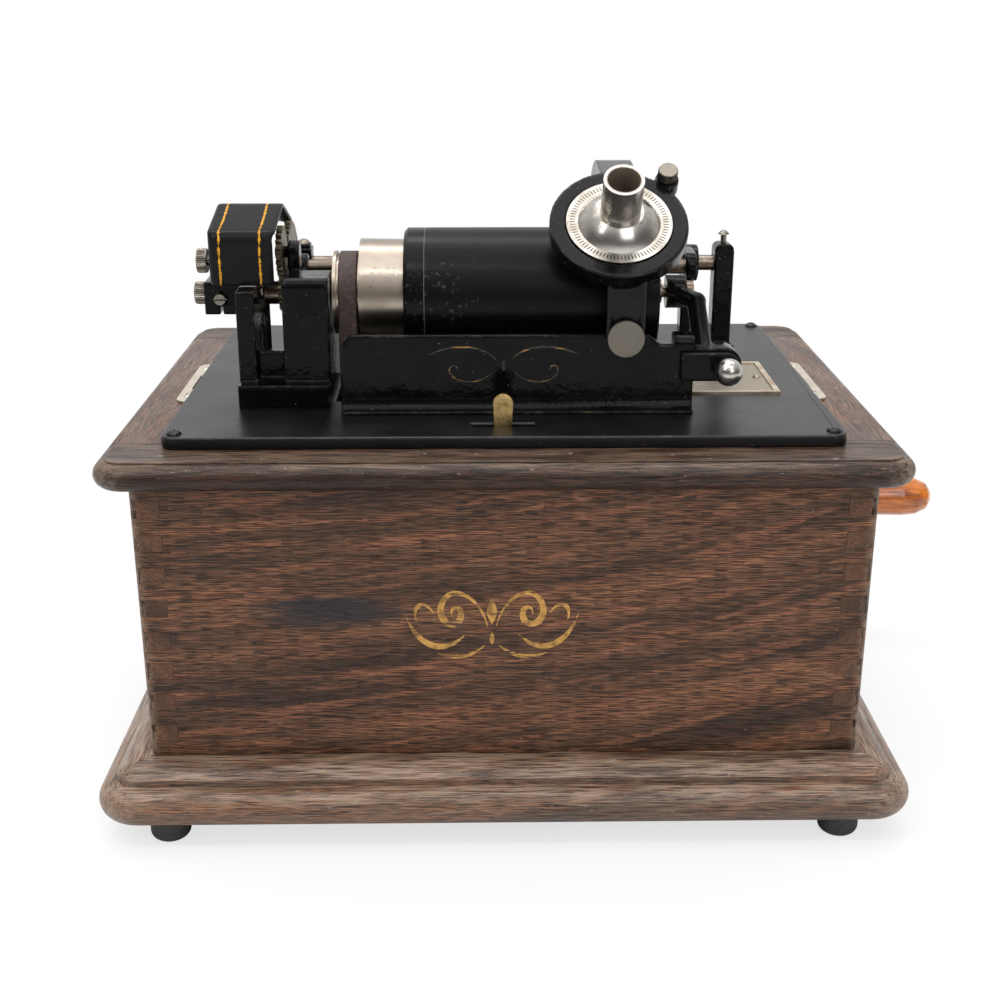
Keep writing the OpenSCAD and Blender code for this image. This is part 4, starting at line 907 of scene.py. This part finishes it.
# The gear cover: a thin iron hood over the gears, held by the cover screw, with every edge
# rounded. It is black japanned, and two gold lines are painted by hand up over its bend.
LINE_PLACES = (-119.4 * MM, -102.4 * MM)
LINE_WIDTH = 0.9 * MM
LINE_WANDER = 1.4 * MM
LINE_GOLD = "d0962f"
COVER_BLACK = "252423"
COVER_STEP = 0.45 * MM
COVER_PASSES = 24
# A step so long that a pattern keeps its look along it
ENDLESS = 1.0


def lined_japan(name):
    """Smooth japan with two gold lines at given places along X."""
    material, tree = new_finish(name)
    paint, rough, normal = japan_coat(tree, reach=1.8 * MM, relief=0.15 * MM, gloss=0.1)
    paint = mix(tree, 0.6, paint, colour(COVER_BLACK))
    sway = noise(tree, spot(tree, (ENDLESS, 12 * MM, 12 * MM)), 2.0)
    wander = calc(tree, "SUBTRACT", sway, 0.5)
    hand = calc(tree, "MULTIPLY_ADD", wander, LINE_WANDER, axes(tree)[0])
    brush = noise(tree, spot(tree, (ENDLESS, 2.5 * MM, 2.5 * MM), (0, 5, 2)), 3.0)
    chips = noise(tree, spot(tree, 0.6 * MM), 2.0)
    width = calc(tree, "MULTIPLY", rise(tree, brush, 0.2, 0.7), LINE_WIDTH)
    sound = calc(tree, "GREATER_THAN", chips, 0.4)
    for place in LINE_PLACES:
        off = calc(tree, "ABSOLUTE", calc(tree, "SUBTRACT", hand, place))
        line = calc(tree, "LESS_THAN", off, calc(tree, "MULTIPLY", width, 0.7))
        paint = mix(tree, calc(tree, "MULTIPLY", line, sound), paint, colour(LINE_GOLD))
    show(tree, "Base Color", paint)
    show(tree, "Roughness", rough)
    show(tree, "Normal", normal)
    show(tree, "Specular IOR Level", 0.05)
    return material


dress(lined_japan("lined_japan"), "gear_cover")
round_casting(COVER_STEP, COVER_PASSES, "gear_cover")

# The record: a moulded cylinder of black metallic soap, with fine grooves, a plain band
# and a guide line near its thick end, and a bloom of mould in places.
WAX = "080808"
BLOOM = "55544f"
GUIDE_GREY = "4c4c49"
GUIDE_LINE = -33.2 * MM
GUIDE_HALF = 0.2 * MM
GROOVES_FROM = (-34 * MM, -31 * MM)
BLOOM_TO_LEFT = (-5 * MM, 30 * MM)


def black_wax(name):
    """Grooved black wax."""
    material, tree = new_finish(name)
    x = axes(tree)[0]
    bloom_place = noise(tree, spot(tree, 20 * MM, (0.5, 0, 0.3)), 2.0)
    bloom = noise(tree, spot(tree, 2 * MM), 3.0, 0.7)
    left = rise(tree, calc(tree, "MULTIPLY", x, -1.0), *BLOOM_TO_LEFT)
    mould = calc(tree, "MULTIPLY", rise(tree, bloom_place, 0.5, 0.65), rise(tree, bloom, 0.55, 0.7))
    mould = calc(tree, "MULTIPLY", calc(tree, "MULTIPLY", mould, left), 0.6)
    wax = mix(tree, mould, colour(WAX), colour(BLOOM))
    off = calc(tree, "ABSOLUTE", calc(tree, "SUBTRACT", x, GUIDE_LINE))
    guide = calc(tree, "LESS_THAN", off, GUIDE_HALF)
    show(tree, "Base Color", mix(tree, guide, wax, colour(GUIDE_GREY)))
    bands = noise(tree, spot(tree, (0.7 * MM, ENDLESS, ENDLESS)), 2.0, 0.7)
    grooved = rise(tree, x, *GROOVES_FROM)
    rough = calc(tree, "MULTIPLY_ADD", grooved, 0.08, 0.26)
    show(tree, "Roughness", calc(tree, "ADD", rough, calc(tree, "MULTIPLY", mould, 0.5)))
    show(tree, "Normal", bump(tree, calc(tree, "MULTIPLY", bands, grooved), depth=0.02 * MM))
    show(tree, "Specular IOR Level", 0.12)
    return material


dress(black_wax("black_wax"), "record")

# The drive belt: a strip of oak-tanned leather round the mandrel pulley and the motor
# pulley below, its ends skived and glued in a lap.
LEATHER = "3d2c26"
LEATHER_DARK = "241a17"
LEATHER_PALE = "6d5547"
BELT_THICK = 1.6 * MM
LAP_LENGTH = 30 * MM
LAP_STEP = 0.5 * MM
LAP_PLACE = 45 * MM
BELT_CORNER = 0.45 * MM
BELT_STEPS = 220
belt_low, belt_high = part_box("drive_belt")
mandrel_axis = Vector(next(j["pos_m"] for j in frame["joints"] if j["name"] == "mandrel_spin"))
drive_axis = Vector(next(j["pos_m"] for j in frame["joints"] if j["name"] == "drive_spin"))


def belt_path():
    """Middle line of the belt in Y and Z, as (point, outward, distance)."""
    top = belt_high[2] - mandrel_axis.z - BELT_THICK / 2
    low = drive_axis.z - belt_low[2] - BELT_THICK / 2
    top_middle = Vector((mandrel_axis.y, mandrel_axis.z))
    low_middle = Vector((drive_axis.y, drive_axis.z))
    reach = mandrel_axis.z - drive_axis.z
    lean = math.asin((low - top) / reach)
    arc_top = top * (math.pi - 2 * lean)
    arc_low = low * (math.pi + 2 * lean)
    run = reach * math.cos(lean)
    total = arc_top + arc_low + 2 * run
    path = []
    for i in range(BELT_STEPS):
        s = total * i / BELT_STEPS
        if s < run:
            out = Vector((-math.cos(lean), math.sin(lean)))
            point = low_middle + out * low + Vector((math.sin(lean), math.cos(lean))) * s
        elif s < run + arc_top:
            angle = math.pi - lean - (s - run) / top
            out = Vector((math.cos(angle), math.sin(angle)))
            point = top_middle + out * top
        elif s < 2 * run + arc_top:
            out = Vector((math.cos(lean), math.sin(lean)))
            down = Vector((math.sin(lean), -math.cos(lean)))
            point = top_middle + out * top + down * (s - run - arc_top)
        else:
            angle = lean - (s - 2 * run - arc_top) / low
            out = Vector((math.cos(angle), math.sin(angle)))
            point = low_middle + out * low
        path.append((point, out, s))
    return path


def leather_belt(name):
    """Sweeps the belt's section, with its lap, round the path."""
    half_w = (belt_high[0] - belt_low[0]) / 2
    middle_x = (belt_high[0] + belt_low[0]) / 2
    path = belt_path()
    corners, faces = [], []
    for point, out, s in path:
        lap = (s - LAP_PLACE) / LAP_LENGTH
        extra = LAP_STEP * (1 - lap) if 0 <= lap <= 1 else 0
        inner, outer = -BELT_THICK / 2, BELT_THICK / 2 + extra
        low, high, flat = inner + BELT_CORNER, outer - BELT_CORNER, half_w - BELT_CORNER
        section = [(-half_w, low), (-half_w, high), (-flat, outer), (flat, outer),
                   (half_w, high), (half_w, low), (flat, inner), (-flat, inner)]
        for across_x, away in section:
            place = point + out * away
            corners.append((middle_x + across_x, place.x, place.y))
    sides = len(section)
    count = len(path)
    for i in range(count):
        for k in range(sides):
            a, b = i * sides + k, i * sides + (k + 1) % sides
            c, d = ((i + 1) % count) * sides + (k + 1) % sides, ((i + 1) % count) * sides + k
            faces.append((a, b, c, d))
    mesh = bpy.data.meshes.new(name)
    mesh.from_pydata(corners, [], faces)
    return finished_piece(name, mesh)


def belt_leather(name):
    """Brown leather, cracked and darkened with oil."""
    material, tree = new_finish(name)
    hide = noise(tree, spot(tree, 1.5 * MM), 4.0, 0.7)
    cloud = noise(tree, spot(tree, 10 * MM), 2.0)
    skin = tints(tree, hide, (0.3, LEATHER_DARK), (0.55, LEATHER), (0.8, LEATHER_PALE))
    oily = calc(tree, "MULTIPLY", cloud, 0.3)
    show(tree, "Base Color", mix(tree, oily, skin, colour(LEATHER_DARK)))
    show(tree, "Roughness", 0.65)
    show(tree, "Normal", bump(tree, hide, depth=0.3 * MM))
    return material


belt = leather_belt("leather_belt")
belt.data.materials.append(belt_leather("belt_leather"))
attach(belt, "case")
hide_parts("drive_belt")

# The crank's grip: turned hardwood, stained orange and thickly varnished.
# It turns freely on the spindle of the crank.
GRIP_PALE = "d2751b"
GRIP_DARK = "6a2a08"
GRIP_CLOUD = (20 * MM, 6 * MM, 6 * MM)
GRIP_FIBRE = (20 * MM, 1 * MM, 1 * MM)


def varnished_grip(name):
    """Orange stained wood under a clear varnish."""
    material, tree = new_finish(name)
    cloud = noise(tree, spot(tree, GRIP_CLOUD), 3.0, 0.6)
    fibres = noise(tree, spot(tree, GRIP_FIBRE), 2.0)
    shown = calc(tree, "ADD", calc(tree, "MULTIPLY", cloud, 0.7), calc(tree, "MULTIPLY", fibres, 0.3))
    show(tree, "Base Color", tints(tree, shown, (0.35, GRIP_DARK), (0.6, GRIP_PALE)))
    show(tree, "Roughness", 0.3)
    show(tree, "Coat Weight", 0.5)
    show(tree, "Coat Roughness", 0.06)
    show(tree, "Normal", bump(tree, fibres, depth=0.05 * MM))
    return material


dress(varnished_grip("varnished_grip"), "crank_grip")

# The table top and the room's light: a white paper sweep in a white room with a dimmer
# front, a large soft box overhead, a fill from the front right, and three narrow strips
# that draw bright lines on the metal.
FLOOR_HALF = 3.0
FLOOR_FADES = (0.2, 0.5)
PAPER = (0.93, 0.93, 0.93, 1)
LIGHT = (1, 1, 1, 1)
ROOM_FRONT = 0.14
ROOM_RISE = 0.8
bpy.ops.mesh.primitive_plane_add(size=2 * FLOOR_HALF)
floor = bpy.context.object
floor.name = "floor"


def white_sweep(name):
    """A white floor that fades into the white room away from the object."""
    material, tree = new_finish(name)
    tree.nodes.clear()
    here = put(tree, "TexCoord").outputs["Object"]
    away = put(tree, "VectorMath", {0: here}, operation="LENGTH").outputs["Value"]
    paper = put(tree, "BsdfDiffuse", {"Color": PAPER}).outputs[0]
    glow = put(tree, "Emission", {"Color": LIGHT, "Strength": 1.0}).outputs[0]
    seen = put(tree, "LightPath").outputs["Is Camera Ray"]
    far = calc(tree, "MULTIPLY_ADD", rise(tree, away, *FLOOR_FADES), 0.3, 0.7)
    shown = put(tree, "MixShader", {0: calc(tree, "MULTIPLY", far, seen), 1: paper, 2: glow}).outputs[0]
    out = put(tree, "OutputMaterial")
    tree.links.new(shown, out.inputs["Surface"])
    return material


floor.data.materials.append(white_sweep("white_sweep"))

world = bpy.data.worlds.new("studio")
bpy.context.scene.world = world
world.use_nodes = True
tree = world.node_tree
tree.nodes.clear()
towards = put(tree, "SeparateXYZ", {0: put(tree, "TexCoord").outputs["Generated"]}).outputs
back = rise(tree, towards[1], -0.35, 0.45)
high = rise(tree, towards[2], 0.2, 0.9)
room = calc(tree, "MULTIPLY_ADD", calc(tree, "MAXIMUM", back, high), ROOM_RISE, ROOM_FRONT)
seen = put(tree, "LightPath").outputs["Is Camera Ray"]
level = calc(tree, "MAXIMUM", room, seen)
lit = put(tree, "Background", {"Color": LIGHT, "Strength": level}).outputs[0]
tree.links.new(lit, put(tree, "OutputWorld").inputs["Surface"])


def soft_box(name, place, aim, width, height, power):
    """A lamp with a lit window of the given width and height that looks at a point."""
    lamp = bpy.data.lights.new(name, "AREA")
    lamp.shape = "RECTANGLE"
    lamp.size = width
    lamp.size_y = height
    lamp.energy = power
    holder = bpy.data.objects.new(name, lamp)
    bpy.context.scene.collection.objects.link(holder)
    holder.location = place
    holder.rotation_euler = (Vector(aim) - Vector(place)).to_track_quat("-Z", "Y").to_euler()


for name, place, aim, width, height, power in (
    ("overhead", (-0.15, 0.1, 1.1), (0, 0, 0.1), 0.9, 0.9, 3.8),
    ("top_strip", (0.1, 0.3, 1.0), (0, 0, 0.18), 1.0, 0.04, 2.2),
    ("front_fill", (0.5, -1.3, 0.9), (0, 0, 0.12), 0.7, 0.7, 5.0),
    ("front_strip", (0, -0.55, 1.0), (0, 0, 0.18), 1.2, 0.03, 2.5),
    ("strip", (-0.5, -0.55, 0.95), (0, 0, 0.15), 0.04, 0.7, 2.0),
):
    soft_box(name, place, aim, width, height, power)

# The camera, set at the place, height and downward angle of the picture.
# The Standard view shows the colours as they are mixed.
FILM_WIDTH = 36
LENS = 51.54
CAMERA_PLACE = (-10.33 * MM, -642.5 * MM, 342.3 * MM)
LOOKS_DOWN = math.radians(19.887)
LOOKS_RIGHT = math.radians(0.869)
camera_data = bpy.data.cameras.new("camera")
camera_data.sensor_fit = "HORIZONTAL"
camera_data.sensor_width = FILM_WIDTH
camera_data.lens = LENS
camera = bpy.data.objects.new("camera", camera_data)
bpy.context.scene.collection.objects.link(camera)
camera.location = CAMERA_PLACE
camera.rotation_euler = (math.pi / 2 - LOOKS_DOWN, 0, -LOOKS_RIGHT)
bpy.context.scene.camera = camera
bpy.context.scene.view_settings.view_transform = "Standard"
